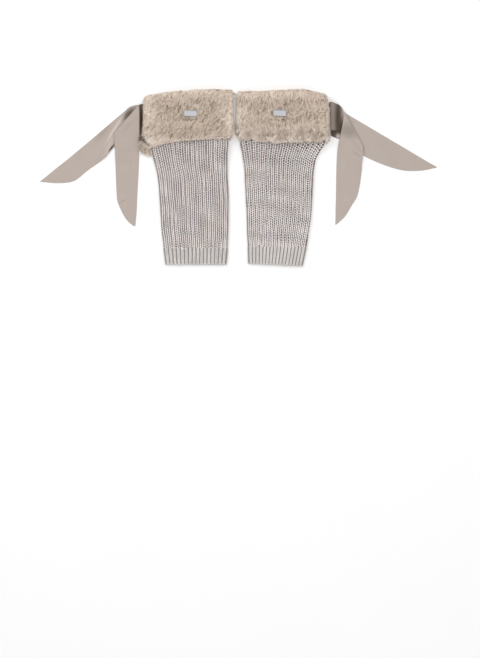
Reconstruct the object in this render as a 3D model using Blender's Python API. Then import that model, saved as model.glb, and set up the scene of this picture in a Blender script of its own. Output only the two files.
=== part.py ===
"""Pair of knitted leg warmers with fur cuffs and satin ribbon ties, laid flat on a table.

+X runs across the pair to the right, +Y from the knitted hems to the fur cuffs, +Z up.
The origin is on the table, under the middle of the pair. Each leg warmer is a knitted
tube pressed flat, a ribbed hem band, a fur cuff turned down round its top, a small blank
woven label, and two ends of a wide satin ribbon sewn to the outer side of the cuff.
Tables and sizes are in millimetres; the meshes are in metres.
"""

import math
from collections import namedtuple

import bpy
import numpy as np
from mathutils import Vector
from mathutils.bvhtree import BVHTree

MM = 0.001

# Knit: one layer of thick half-cardigan stitch, two layers pressed together
KNIT_WALL = 3.0
PANEL_SLIT = 0.3
RIB_COUNT = 16
RIB_STATIONS = 4
RIB_HEIGHT = 1.1
HEM_RIB_HEIGHT = 0.8
RIB_FADE = 8.0

# Fur cuff: height of the pile's tips over the table and the pile left at its two edges
CUFF_TOP = 27.0
CUFF_CROWN = 2.0
CUFF_RIM = 1.2
CUFF_CLEARANCE = 0.75
CUFF_BACK = 6.5
CUFF_SIDE_RADIUS = 13.0
LIFT_LENGTH = 30.0
LABEL_DENT = 2.6
LABEL_DENT_RADIUS = 24.0

# Blank woven label
LABEL_WIDTH = 26.0
LABEL_HEIGHT = 12.5
LABEL_THICKNESS = 0.8
LABEL_CLEARANCE = 0.5
LABEL_TILT_DEGREES = -2.5

# Satin ribbon, two layers sewn edge to edge
RIBBON_THICKNESS = 1.1
RIBBON_REST = 0.68
RIBBON_COLUMNS = 6
FOLD_RADIUS = 1.3
FOLD_STATIONS = 5
ROOT_CLEARANCE = 0.35

# Knit outline: y along the leg, the two side edges, from the band's seam up into the cuff
KnitRow = namedtuple("KnitRow", "y left right")
KNIT_LEFT = (
    KnitRow(-133.0, -143.5, -19.0),
    KnitRow(-103.0, -147.0, -18.0),
    KnitRow(-72.0, -149.5, -17.5),
    KnitRow(-42.0, -151.5, -17.0),
    KnitRow(-11.0, -153.5, -18.5),
    KnitRow(8.0, -156.0, -19.5),
    KnitRow(22.0, -159.5, -19.5),
    KnitRow(36.0, -163.0, -19.5),
    KnitRow(50.0, -166.5, -19.0),
    KnitRow(65.0, -169.0, -17.5),
    KnitRow(80.0, -169.0, -18.5),
    KnitRow(110.0, -168.0, -20.0),
    KnitRow(151.0, -167.0, -21.0),
)
KNIT_RIGHT = (
    KnitRow(-130.5, 16.5, 130.5),
    KnitRow(-103.0, 14.5, 135.0),
    KnitRow(-72.0, 14.0, 139.5),
    KnitRow(-42.0, 12.5, 141.5),
    KnitRow(-11.0, 10.5, 143.0),
    KnitRow(8.0, 10.0, 143.5),
    KnitRow(22.0, 8.5, 145.5),
    KnitRow(36.0, 6.5, 148.5),
    KnitRow(50.0, 4.5, 156.0),
    KnitRow(65.0, 1.5, 165.5),
    KnitRow(80.0, 2.0, 165.0),
    KnitRow(110.0, 5.5, 161.5),
    KnitRow(153.0, 6.5, 160.5),
)
KNIT_BETWEEN = 2

# Hem band outline: y of its two edges at the left and right side, and the side edges
HemRow = namedtuple("HemRow", "y_left y_right left right")
HEM_LEFT = (
    HemRow(-164.8, -164.3, -139.5, -22.5),
    HemRow(-161.5, -161.0, -140.5, -21.5),
    HemRow(-147.0, -147.0, -142.0, -20.0),
    HemRow(-133.3, -133.3, -143.5, -19.0),
)
HEM_RIGHT = (
    HemRow(-163.0, -167.4, 17.5, 122.5),
    HemRow(-159.8, -164.2, 17.0, 123.5),
    HemRow(-146.0, -148.0, 16.8, 127.0),
    HemRow(-130.8, -130.8, 16.5, 130.5),
)

# Cuff outline, from the turned top edge (0) to the free lower edge (1): the side edges of
# the front layer and of the back layer that shows beside it
CuffRow = namedtuple("CuffRow", "along front_left front_right back_left back_right")
CUFF_LEFT = (
    CuffRow(0.00, -169.0, -15.0, -169.0, -15.0),
    CuffRow(0.03, -174.0, -11.0, -174.0, -11.0),
    CuffRow(0.08, -177.5, -9.5, -177.0, -9.5),
    CuffRow(0.17, -179.5, -8.7, -179.0, -8.7),
    CuffRow(0.32, -180.0, -8.5, -179.5, -8.5),
    CuffRow(0.50, -180.0, -8.0, -180.0, -8.2),
    CuffRow(0.69, -179.5, -8.0, -182.5, -8.2),
    CuffRow(0.82, -179.5, -8.5, -191.5, -8.5),
    CuffRow(0.92, -178.5, -9.5, -193.0, -9.5),
    CuffRow(0.97, -175.5, -11.5, -188.0, -11.5),
    CuffRow(1.00, -172.0, -14.0, -179.0, -14.0),
)
CUFF_RIGHT = (
    CuffRow(0.00, 4.5, 159.5, 4.0, 158.0),
    CuffRow(0.03, -0.5, 163.0, -0.5, 162.0),
    CuffRow(0.08, -3.0, 166.0, -3.0, 165.0),
    CuffRow(0.17, -4.5, 169.0, -4.5, 168.5),
    CuffRow(0.32, -4.8, 171.0, -5.0, 171.0),
    CuffRow(0.50, -4.8, 171.5, -6.0, 171.5),
    CuffRow(0.68, -4.8, 171.5, -7.5, 171.5),
    CuffRow(0.83, -4.0, 171.5, -7.8, 171.5),
    CuffRow(0.92, -3.0, 171.0, -6.0, 171.0),
    CuffRow(0.97, -1.8, 169.5, -3.0, 169.5),
    CuffRow(1.00, -0.5, 168.5, -1.0, 168.5),
)

# Cuff edges: y at evenly spaced places from its left side to its right side
CuffEdges = namedtuple("CuffEdges", "top front_bottom back_bottom")
EDGES_LEFT = CuffEdges(
    top=(157.0, 162.5, 164.5, 166.5, 167.5, 166.5),
    front_bottom=(60.0, 68.0, 71.5, 73.0, 74.0, 75.5),
    back_bottom=(43.5, 52.0, 60.0, 65.0, 69.0, 73.0),
)
EDGES_RIGHT = CuffEdges(
    top=(164.0, 164.0, 165.5, 167.0, 167.5, 160.0),
    front_bottom=(76.0, 72.5, 69.0, 71.0, 71.5, 72.0),
    back_bottom=(71.5, 70.0, 69.0, 70.0, 71.0, 71.0),
)

# Where the rings inside a cuff lie, from its top edge (0) to its lower edge (1)
HOLE_PLACES = (0.0, 0.25, 0.5, 0.7, 0.85, 0.93, 1.0)

# Sections round a cuff: columns along the front, round each side, and along the back
CUFF_FLAT_COLUMNS = 14
SIDE_COLUMNS = 6
KNIT_BACK_COLUMNS = 14

# Ribbon rows, from the cuff to the tip: the outer edge (a) and the inner edge (b), each
# with its x, y and height over the table, and how far the middle bows up
RibbonRow = namedtuple("RibbonRow", "ax ay az bx by bz bow")
FRONT_RIBBON_LEFT_BAND = (
    RibbonRow(-181.0, 140.5, 8.5, -181.0, 81.5, 8.0, 0.5),
    RibbonRow(-185.5, 140.0, 5.6, -187.5, 80.5, 5.2, 0.0),
    RibbonRow(-189.0, 138.0, 3.5, -194.0, 80.0, 3.5, 0.0),
)
FRONT_RIBBON_LEFT_TAIL = (
    RibbonRow(-188.0, 125.5, 6.4, -235.0, 76.0, 6.2, 0.8),
    RibbonRow(-188.0, 106.5, 6.2, -234.6, 61.0, 5.8, 0.8),
    RibbonRow(-188.2, 82.0, 5.6, -234.3, 42.0, 4.2, 0.3),
    RibbonRow(-188.6, 53.0, 2.6, -233.7, 23.0, 1.6, 0.5),
    RibbonRow(-189.5, 15.0, 0.7, -232.8, -4.0, 0.7, 0.6),
    RibbonRow(-191.5, -23.0, 0.7, -231.7, -28.5, 0.7, 0.2),
    RibbonRow(-192.4, -42.0, 0.7, -230.3, -43.5, 0.7, 0.4),
    RibbonRow(-193.0, -57.0, 0.7, -225.2, -57.0, 0.7, 0.1),
    RibbonRow(-193.9, -70.5, 0.7, -218.0, -71.5, 0.7, 0.0),
    RibbonRow(-195.0, -82.0, 0.7, -210.0, -82.5, 0.7, 0.0),
    RibbonRow(-196.0, -91.0, 0.7, -199.0, -91.5, 0.7, 0.0),
)
BACK_RIBBON_LEFT = (
    RibbonRow(-181.0, 138.5, 4.2, -181.0, 80.5, 3.6, 0.0),
    RibbonRow(-186.0, 139.5, 1.9, -190.0, 79.0, 1.2, -0.4),
    RibbonRow(-191.5, 139.0, 1.2, -199.0, 75.5, 0.8, -0.2),
    RibbonRow(-199.0, 137.5, 2.8, -212.0, 70.0, 0.7, -1.1),
    RibbonRow(-208.0, 134.0, 3.6, -227.0, 64.0, 0.7, -1.2),
    RibbonRow(-217.5, 125.5, 2.2, -238.5, 57.0, 2.4, -1.0),
    RibbonRow(-240.0, 107.0, 0.8, -252.0, 40.0, 3.2, 0.4),
    RibbonRow(-268.5, 82.5, 0.7, -269.0, 26.5, 0.8, 0.6),
    RibbonRow(-297.0, 58.5, 0.7, -288.0, 13.0, 0.7, 0.5),
    RibbonRow(-324.0, 36.0, 0.7, -309.0, -4.0, 0.7, 0.4),
    RibbonRow(-347.0, 18.0, 0.7, -328.0, -9.2, 0.7, 0.2),
    RibbonRow(-364.0, 4.0, 0.7, -350.5, -9.6, 0.7, 0.0),
    RibbonRow(-371.5, -2.0, 0.7, -366.0, -8.2, 0.7, 0.0),
    RibbonRow(-377.0, -6.2, 0.7, -375.5, -7.6, 0.7, 0.0),
)
FRONT_RIBBON_RIGHT_BAND = (
    RibbonRow(172.0, 143.5, 8.0, 172.0, 90.0, 8.0, 0.6),
    RibbonRow(177.0, 144.0, 11.6, 177.0, 90.0, 11.2, 1.0),
    RibbonRow(184.0, 141.5, 9.0, 183.5, 90.0, 8.2, 0.4),
    RibbonRow(191.0, 138.5, 5.2, 191.0, 88.5, 4.6, 0.0),
    RibbonRow(197.5, 131.5, 3.4, 206.0, 81.0, 3.2, 0.0),
)
FRONT_RIBBON_RIGHT_TAIL = (
    RibbonRow(199.0, 111.0, 6.4, 236.5, 47.0, 5.2, 1.0),
    RibbonRow(195.5, 91.0, 6.0, 236.0, 38.0, 4.4, -0.4),
    RibbonRow(192.5, 76.0, 4.8, 234.5, 26.5, 3.2, 0.4),
    RibbonRow(189.0, 60.0, 3.0, 234.0, 15.0, 1.6, 1.2),
    RibbonRow(186.5, 34.0, 1.2, 232.5, 0.0, 0.8, 0.8),
    RibbonRow(185.5, -4.0, 0.7, 229.5, -19.0, 0.7, 0.5),
    RibbonRow(185.0, -36.0, 0.7, 225.0, -36.0, 0.7, 0.2),
    RibbonRow(184.5, -53.0, 0.7, 214.5, -53.5, 0.7, 0.1),
    RibbonRow(184.2, -70.0, 0.7, 204.0, -71.0, 0.7, 0.0),
    RibbonRow(184.0, -82.0, 0.7, 193.5, -82.0, 0.7, 0.0),
    RibbonRow(183.8, -88.5, 0.7, 185.8, -88.5, 0.7, 0.0),
)
BACK_RIBBON_RIGHT = (
    RibbonRow(172.0, 136.5, 4.0, 172.0, 84.0, 4.0, 0.0),
    RibbonRow(178.0, 135.0, 2.2, 178.0, 79.0, 2.0, 0.0),
    RibbonRow(189.0, 131.0, 1.0, 191.0, 74.0, 0.9, 0.0),
    RibbonRow(200.5, 124.8, 0.7, 206.0, 66.0, 0.7, 0.3),
    RibbonRow(223.0, 111.5, 0.7, 231.0, 46.5, 0.7, 0.3),
    RibbonRow(253.5, 93.5, 0.7, 254.0, 34.0, 0.7, 0.9),
    RibbonRow(285.0, 74.8, 0.7, 284.0, 22.0, 0.7, 0.7),
    RibbonRow(314.5, 57.5, 0.7, 312.0, 14.5, 0.7, 0.5),
    RibbonRow(337.0, 44.0, 0.7, 338.0, 13.3, 0.7, 0.3),
    RibbonRow(356.0, 32.8, 0.7, 358.0, 15.6, 0.7, 0.1),
    RibbonRow(368.5, 25.6, 0.7, 369.5, 18.2, 0.7, 0.0),
    RibbonRow(376.6, 21.2, 0.7, 377.0, 19.8, 0.7, 0.0),
)

# The lines along which the two front ribbons turn over: outer end, inner end, height
Fold = namedtuple("Fold", "ax ay bx by z")
FOLD_LEFT = Fold(-189.0, 136.5, -235.5, 84.0, 4.8)
FOLD_RIGHT = Fold(200.5, 125.0, 236.5, 58.0, 4.6)

LabelPlace = namedtuple("LabelPlace", "x y")
LABEL_LEFT = LabelPlace(-91.0, 121.0)
LABEL_RIGHT = LabelPlace(78.0, 121.5)

# Colours are linear; roughness and metallic as on the real stuffs
Finish = namedtuple("Finish", "color roughness metallic")
KNIT_YARN = Finish((0.56, 0.48, 0.45), 0.92, 0.0)
HEM_YARN = Finish((0.52, 0.48, 0.45), 0.92, 0.0)
FUR = Finish((0.50, 0.40, 0.32), 0.95, 0.0)
SATIN = Finish((0.46, 0.39, 0.34), 0.38, 0.0)
WOVEN_LABEL = Finish((0.78, 0.78, 0.78), 0.5, 0.0)


def clear_scene():
    for old in list(bpy.data.objects):
        bpy.data.objects.remove(old, do_unlink=True)


def material(name, finish):
    found = bpy.data.materials.get(name)
    if found:
        return found
    made = bpy.data.materials.new(name)
    made.use_nodes = True
    shader = made.node_tree.nodes["Principled BSDF"]
    shader.inputs["Base Color"].default_value = (*finish.color, 1.0)
    shader.inputs["Roughness"].default_value = finish.roughness
    shader.inputs["Metallic"].default_value = finish.metallic
    made.diffuse_color = (*finish.color, 1.0)
    return made


def smoothstep(value):
    clipped = np.clip(value, 0.0, 1.0)
    return clipped * clipped * (3.0 - 2.0 * clipped)


def column(rows, name):
    return np.array([getattr(row, name) for row in rows])


def mesh_object(name, points, faces, surface):
    """One closed mesh from points in millimetres and faces of point numbers."""
    mesh = bpy.data.meshes.new(name)
    mesh.from_pydata((np.asarray(points) * MM).tolist(), [], faces)
    mesh.validate()
    mesh.shade_smooth()
    made = bpy.data.objects.new(name, mesh)
    made.data.materials.append(surface)
    bpy.context.scene.collection.objects.link(made)
    return made


def band_faces(rows, columns, start, turned):
    """Quads of a closed band of rings: rows rings of so many columns, numbered from start."""
    faces = []
    for row in range(rows - 1):
        for col in range(columns):
            nearby = (col + 1) % columns
            quad = (
                start + row * columns + col,
                start + row * columns + nearby,
                start + (row + 1) * columns + nearby,
                start + (row + 1) * columns + col,
            )
            faces.append(quad[::-1] if turned else quad)
    return faces


def tube_object(name, outer, inner, surface):
    """A wall between outer rings and inner rings, each (rings, columns, 3) and listed from the
    top of the leg down, joined at both ends."""
    columns = outer.shape[1]
    inner_start = outer.shape[0] * columns
    faces = band_faces(outer.shape[0], columns, 0, False)
    faces += band_faces(inner.shape[0], columns, inner_start, True)
    last_outer = (outer.shape[0] - 1) * columns
    last_inner = inner_start + (inner.shape[0] - 1) * columns
    for col in range(columns):
        nearby = (col + 1) % columns
        faces.append((nearby, col, inner_start + col, inner_start + nearby))
        faces.append((last_outer + col, last_outer + nearby, last_inner + nearby, last_inner + col))
    points = np.concatenate([outer.reshape(-1, 3), inner.reshape(-1, 3)])
    return mesh_object(name, points, faces, surface)


def flat_section(front_columns, back_columns):
    """Places round a flattened tube, counter-clockwise seen from the hem: the back from left
    to right, round the right side, the front from right to left, round the left side. Returns
    for each column its place across (-1 to 1), the angle from the side's centre, and a flag,
    -1 on the back, 1 on the front and 0 on the sides."""
    across, angle, face = [], [], []
    for step in range(back_columns + 1):
        across.append(-1.0 + 2.0 * step / back_columns)
        angle.append(-math.pi / 2)
        face.append(-1)
    for step in range(1, SIDE_COLUMNS):
        across.append(1.0)
        angle.append(-math.pi / 2 + math.pi * step / SIDE_COLUMNS)
        face.append(0)
    for step in range(front_columns + 1):
        across.append(1.0 - 2.0 * step / front_columns)
        angle.append(math.pi / 2)
        face.append(1)
    for step in range(1, SIDE_COLUMNS):
        across.append(-1.0)
        angle.append(math.pi / 2 - math.pi * step / SIDE_COLUMNS)
        face.append(0)
    return np.array(across), np.array(angle), np.array(face)


def flat_ring(section, y, left, right, low, high):
    """A flattened tube's ring: straight runs at the heights low and high between half round
    sides, whose radius is half the thickness. y may differ from column to column."""
    across, angle, _ = section
    radius = (high - low) / 2.0
    middle = (left + right) / 2.0
    reach = (right - left) / 2.0 - radius
    x = middle + across * reach + np.where(abs(across) == 1.0, np.cos(angle) * across * radius, 0.0)
    z = (low + high) / 2.0 + np.sin(angle) * radius
    return np.stack([x, np.broadcast_to(y, x.shape), z], axis=1)


def rib_profile(section):
    """Height of the ribs, 0 in the grooves and 1 on the crests, along the front columns, and
    0 on the back. A rib also runs along each side."""
    across, angle, face = section
    wave = np.abs(np.sin(np.pi * RIB_COUNT * (across + 1.0) / 2.0)) ** 0.8
    side = np.clip(np.sin(angle), 0.0, 1.0) * np.abs(np.sin(2.0 * angle))
    return np.where(face > 0, wave, np.where(face == 0, side, 0.0))


def knit_lift(y, lift_middle):
    """Height of the knit's underside: on the table, then up over the cuff's back layer."""
    return CUFF_BACK * smoothstep((y - lift_middle) / LIFT_LENGTH + 0.5)


def knit_thickness():
    return 2.0 * KNIT_WALL + PANEL_SLIT


def finer(rows):
    """The outline with KNIT_BETWEEN - 1 rows added between each two, on a smooth curve."""
    y = column(rows, "y")
    places = np.arange(len(rows))
    fine = np.linspace(0, len(rows) - 1, (len(rows) - 1) * KNIT_BETWEEN + 1)
    return [
        KnitRow(*values)
        for values in zip(
            np.interp(fine, places, y),
            np.interp(fine, places, column(rows, "left")),
            np.interp(fine, places, column(rows, "right")),
        )
    ]


def knit_leg(name, rows, cuff_edge, lift_middle):
    """The flattened knitted tube. Its inner surface is a plain slit, and the ribs stand on the
    outer points of the front and the sides, fading out inside the cuff."""
    section = flat_section(RIB_COUNT * RIB_STATIONS, KNIT_BACK_COLUMNS)
    ribs = rib_profile(section)
    outer = []
    inner = []
    for index, row in enumerate(rows):
        low = knit_lift(row.y, lift_middle)
        high = low + knit_thickness()
        ring = flat_ring(section, row.y, row.left, row.right, low, high)
        fade = 1.0 - smoothstep((row.y - cuff_edge) / RIB_FADE)
        ring[:, 2] += RIB_HEIGHT * (ribs - 0.5 * (section[2] > 0)) * fade
        outer.append(ring)
        if index % KNIT_BETWEEN == 0:
            middle = (low + high) / 2.0
            inner.append(
                flat_ring(
                    section,
                    row.y,
                    row.left + KNIT_WALL,
                    row.right - KNIT_WALL,
                    middle - PANEL_SLIT / 2.0,
                    middle + PANEL_SLIT / 2.0,
                )
            )
    surface = material("knit", KNIT_YARN)
    return tube_object(name, np.array(outer)[::-1], np.array(inner)[::-1], surface)


def hem_band(name, rows):
    """The ribbed band at the foot of the leg, 0.3 mm from the tube it is knitted to."""
    section = flat_section(RIB_COUNT * RIB_STATIONS, KNIT_BACK_COLUMNS)
    ribs = rib_profile(section)
    share = (section[0] + 1.0) / 2.0
    middle = knit_thickness() / 2.0
    outer = []
    inner = []
    for row in rows:
        y = row.y_left + (row.y_right - row.y_left) * share
        ring = flat_ring(section, y, row.left, row.right, 0.0, knit_thickness())
        ring[:, 2] += HEM_RIB_HEIGHT * (ribs - 0.5 * (section[2] > 0))
        outer.append(ring)
        inner.append(
            flat_ring(
                section,
                y,
                row.left + KNIT_WALL,
                row.right - KNIT_WALL,
                middle - PANEL_SLIT / 2.0,
                middle + PANEL_SLIT / 2.0,
            )
        )
    surface = material("hem_knit", HEM_YARN)
    return tube_object(name, np.array(outer)[::-1], np.array(inner)[::-1], surface)


def cuff_hole(section, knit_rows, cuff_edge, lift_middle, y):
    """The ring that clears the knit inside the cuff, at the place y of each column."""
    knit_y = column(knit_rows, "y")
    left = np.interp(y, knit_y, column(knit_rows, "left"))
    right = np.interp(y, knit_y, column(knit_rows, "right"))
    low = knit_lift(y, lift_middle)
    fade = 1.0 - smoothstep((y - cuff_edge) / RIB_FADE)
    high = low + knit_thickness() + RIB_HEIGHT * 0.5 * fade
    clear = CUFF_CLEARANCE
    return flat_ring(section, y, left - clear, right + clear, low - clear, high + clear)


def puff(along):
    """Fullness of the pile from 0 at the cuff's two edges to 1 in between, on round shoulders."""
    return np.sqrt(np.clip(1.0 - abs(2.0 * along - 1.0) ** 6, 0.0, 1.0))


def fur_cuff(name, rows, edges, knit_rows, cuff_edge, lift_middle, label_place):
    """The fur cuff: rings from its turned top edge to its free lower edge, round a hole that
    clears the knit. The back is flat on the table and the front is crowned, with a shallow
    dent where the label presses the pile down."""
    section = flat_section(CUFF_FLAT_COLUMNS, CUFF_FLAT_COLUMNS)
    across, angle, face = section
    front_share = (1.0 + np.sin(angle)) / 2.0
    place = (across + 1.0) / 2.0
    spots = np.linspace(0.0, 1.0, len(edges.top))
    top_edge = np.interp(place, spots, edges.top)
    front_edge = np.interp(place, spots, edges.front_bottom)
    back_edge = np.interp(place, spots, edges.back_bottom)
    bottom_edge = back_edge + (front_edge - back_edge) * front_share
    outer = []
    for row in rows:
        y = top_edge + (bottom_edge - top_edge) * row.along
        hole = cuff_hole(section, knit_rows, cuff_edge, lift_middle, y)
        left = row.back_left + (row.front_left - row.back_left) * front_share
        right = row.back_right + (row.front_right - row.back_right) * front_share
        fullness = puff(row.along)
        crown = CUFF_CROWN * np.cos(across * math.pi / 2.0) * (face > 0)
        flat_top = CUFF_TOP - CUFF_CROWN
        ring = flat_ring_of_radius(section, y, left, right, 0.0, flat_top, CUFF_SIDE_RADIUS)
        ring[:, 2] += crown
        dent = (ring[:, 0] - label_place.x) ** 2 + (y - label_place.y) ** 2
        ring[:, 2] -= LABEL_DENT * np.exp(-dent / LABEL_DENT_RADIUS**2) * (face > 0)
        rim_low = np.where(face < 0, hole[:, 2] - CUFF_RIM, hole[:, 2] + CUFF_RIM * np.sin(angle))
        height = np.where(face < 0, np.maximum(rim_low, 0.0), rim_low)
        ring[:, 2] = height + (ring[:, 2] - height) * fullness
        outer.append(ring)
    outer = np.array(outer)
    holes = []
    for along in HOLE_PLACES:
        y = top_edge + (bottom_edge - top_edge) * along
        holes.append(cuff_hole(section, knit_rows, cuff_edge, lift_middle, y))
    return tube_object(name, outer, np.array(holes), material("fur", FUR))


def flat_ring_of_radius(section, y, left, right, low, high, radius):
    """As flat_ring, with sides that reach in by radius, whatever the thickness is."""
    across, angle, _ = section
    middle = (left + right) / 2.0
    reach = (right - left) / 2.0 - radius
    x = middle + across * reach + np.where(abs(across) == 1.0, np.cos(angle) * across * radius, 0.0)
    z = (low + high) / 2.0 + np.sin(angle) * (high - low) / 2.0
    return np.stack([x, np.broadcast_to(y, x.shape), z], axis=1)


def surface_tree(thing):
    mesh = thing.data
    points = [vertex.co.copy() for vertex in mesh.vertices]
    return BVHTree.FromPolygons(points, [tuple(face.vertices) for face in mesh.polygons])


def sheet_object(name, grid, surface, thickness):
    """A closed sheet of cloth: the grid of points (rows, columns, 3) thickened both ways along
    its own normals."""
    along = np.gradient(grid, axis=0)
    over = np.gradient(grid, axis=1)
    normal = np.cross(along, over)
    normal /= np.linalg.norm(normal, axis=2, keepdims=True)
    rows, columns = grid.shape[:2]
    points = np.concatenate(
        [
            (grid + normal * thickness / 2.0).reshape(-1, 3),
            (grid - normal * thickness / 2.0).reshape(-1, 3),
        ]
    )
    below = rows * columns
    faces = []
    for row in range(rows - 1):
        for col in range(columns - 1):
            here = row * columns + col
            quad = (here, here + columns, here + columns + 1, here + 1)
            faces.append(quad)
            faces.append(tuple(below + number for number in quad[::-1]))
    rim = [col for col in range(columns)]
    rim += [row * columns + columns - 1 for row in range(1, rows)]
    rim += [(rows - 1) * columns + col for col in range(columns - 2, -1, -1)]
    rim += [row * columns for row in range(rows - 2, 0, -1)]
    for index, here in enumerate(rim):
        nearby = rim[(index + 1) % len(rim)]
        faces.append((here, nearby, below + nearby, below + here))
    return mesh_object(name, points, faces, surface)


def ribbon_grid(rows):
    """Points across each row, from its outer edge to its inner edge, bowed in the middle."""
    share = np.linspace(0.0, 1.0, RIBBON_COLUMNS)[None, :, None]
    outer = np.stack([column(rows, key) for key in ("ax", "ay", "az")], axis=1)[:, None, :]
    inner = np.stack([column(rows, key) for key in ("bx", "by", "bz")], axis=1)[:, None, :]
    grid = outer + (inner - outer) * share
    grid[:, :, 2] += column(rows, "bow")[:, None] * (4.0 * share * (1.0 - share))[:, :, 0]
    grid[:, :, 2] = np.maximum(grid[:, :, 2], RIBBON_REST)
    return grid


def fold_rows(fold, side):
    """Rows round the turned-over edge of a ribbon, a half circle about the fold's line."""
    along = Vector((fold.bx - fold.ax, fold.by - fold.ay)).normalized()
    outward = Vector((-along.y, along.x)) * side
    rows = []
    for step in range(FOLD_STATIONS):
        turn = -math.pi / 2 + math.pi * step / (FOLD_STATIONS - 1)
        shift = outward * (FOLD_RADIUS * math.cos(turn))
        z = fold.z + FOLD_RADIUS * math.sin(turn)
        rows.append(
            RibbonRow(
                fold.ax + shift.x, fold.ay + shift.y, z,
                fold.bx + shift.x, fold.by + shift.y, z, 0.0,
            )
        )
    return rows


def seat_root(grid, cuff, side):
    """Moves the first row across to the cuff's surface, a seam's gap from it. The cuff leans
    out over the ribbon's upper face there, so the gap is measured at that face."""
    tree = surface_tree(cuff)
    start_away = 60.0
    for col in range(grid.shape[1]):
        x, y, z = grid[0, col]
        start = Vector(((x + side * start_away) * MM, y * MM, (z + RIBBON_THICKNESS) * MM))
        hit, _, _, _ = tree.ray_cast(start, Vector((-side, 0.0, 0.0)))
        grid[0, col, 0] = hit.x / MM + side * ROOT_CLEARANCE
    return grid


def ribbon(name, rows, cuff, side):
    grid = seat_root(ribbon_grid(rows), cuff, side)
    if side > 0:
        grid = grid[:, ::-1]
    return sheet_object(name, grid, material("satin", SATIN), RIBBON_THICKNESS)


def label(name, place, cuff):
    """A blank label on the pile: a grid of points dropped on the cuff's front and moved out."""
    tree = surface_tree(cuff)
    turn = math.radians(LABEL_TILT_DEGREES)
    columns, rows = 7, 4
    high_above = 100.0
    grid = np.zeros((rows, columns, 3))
    for row in range(rows):
        for col in range(columns):
            along = (col / (columns - 1) - 0.5) * LABEL_WIDTH
            up = (0.5 - row / (rows - 1)) * LABEL_HEIGHT
            x = place.x + along * math.cos(turn) - up * math.sin(turn)
            y = place.y + along * math.sin(turn) + up * math.cos(turn)
            start = Vector((x * MM, y * MM, high_above * MM))
            hit, _, _, _ = tree.ray_cast(start, Vector((0.0, 0.0, -1.0)))
            grid[row, col] = (x, y, hit.z / MM + LABEL_CLEARANCE + LABEL_THICKNESS / 2.0)
    return sheet_object(name, grid, material("woven_label", WOVEN_LABEL), LABEL_THICKNESS)


def leg_warmer(plan):
    """One leg warmer: knit, hem band, cuff, label, and the two ribbon ends at the cuff's side."""
    rows = finer(plan.knit)
    knit_leg(f"knit_leg_{plan.name}", rows, plan.cuff_edge, plan.lift_middle)
    hem_band(f"hem_band_{plan.name}", plan.hem)
    cuff = fur_cuff(
        f"fur_cuff_{plan.name}",
        plan.cuff, plan.edges, rows, plan.cuff_edge, plan.lift_middle, plan.label,
    )
    label(f"label_{plan.name}", plan.label, cuff)
    front = plan.front_band + tuple(fold_rows(plan.fold, plan.side)) + plan.front_tail
    ribbon(f"ribbon_front_{plan.name}", front, cuff, plan.side)
    ribbon(f"ribbon_back_{plan.name}", plan.back_ribbon, cuff, plan.side)


# One leg warmer's tables, the side its ribbons leave by (-1 left, 1 right), where the cuff's
# lower edge crosses the knit, and where the knit rises over the cuff's back layer
Plan = namedtuple(
    "Plan",
    "name side knit hem cuff edges label front_band fold front_tail back_ribbon cuff_edge lift_middle",
)
PLANS = (
    Plan(
        name="left",
        side=-1,
        knit=KNIT_LEFT,
        hem=HEM_LEFT,
        cuff=CUFF_LEFT,
        edges=EDGES_LEFT,
        label=LABEL_LEFT,
        front_band=FRONT_RIBBON_LEFT_BAND,
        fold=FOLD_LEFT,
        front_tail=FRONT_RIBBON_LEFT_TAIL,
        back_ribbon=BACK_RIBBON_LEFT,
        cuff_edge=66.0,
        lift_middle=38.0,
    ),
    Plan(
        name="right",
        side=1,
        knit=KNIT_RIGHT,
        hem=HEM_RIGHT,
        cuff=CUFF_RIGHT,
        edges=EDGES_RIGHT,
        label=LABEL_RIGHT,
        front_band=FRONT_RIBBON_RIGHT_BAND,
        fold=FOLD_RIGHT,
        front_tail=FRONT_RIBBON_RIGHT_TAIL,
        back_ribbon=BACK_RIBBON_RIGHT,
        cuff_edge=70.0,
        lift_middle=56.0,
    ),
)

clear_scene()
for each in PLANS:
    leg_warmer(each)
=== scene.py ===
"""Pair of knitted leg warmers with fur cuffs and wide satin ribbons, laid flat on a pale floor.

+X runs across the pair to the right, +Y from the knitted hems to the fur cuffs, +Z up. Tables
and sizes are in millimetres, and the meshes are in metres. Each knitted tube is a thin shell
with its stitches laid on it as grains of yarn, each cuff is a backing with locks of pile, and
each ribbon is a thin two-layer strip.
"""

import math
from collections import namedtuple
from functools import partial

import bpy
import numpy as np
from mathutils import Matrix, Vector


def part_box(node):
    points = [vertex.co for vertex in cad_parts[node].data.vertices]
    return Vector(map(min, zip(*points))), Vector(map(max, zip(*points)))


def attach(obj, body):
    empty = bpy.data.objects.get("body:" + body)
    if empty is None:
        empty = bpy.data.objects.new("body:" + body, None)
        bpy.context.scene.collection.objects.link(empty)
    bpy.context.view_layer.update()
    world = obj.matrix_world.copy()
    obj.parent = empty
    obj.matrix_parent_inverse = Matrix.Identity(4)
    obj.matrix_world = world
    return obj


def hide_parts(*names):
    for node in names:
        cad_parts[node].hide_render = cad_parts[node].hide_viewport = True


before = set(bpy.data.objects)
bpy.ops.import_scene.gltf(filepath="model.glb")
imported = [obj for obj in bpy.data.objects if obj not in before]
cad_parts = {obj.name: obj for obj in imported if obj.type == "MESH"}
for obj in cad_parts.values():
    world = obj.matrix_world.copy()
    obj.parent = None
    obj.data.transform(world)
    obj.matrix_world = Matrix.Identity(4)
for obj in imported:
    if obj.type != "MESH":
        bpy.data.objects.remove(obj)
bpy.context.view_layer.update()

MM = 0.001

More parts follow.
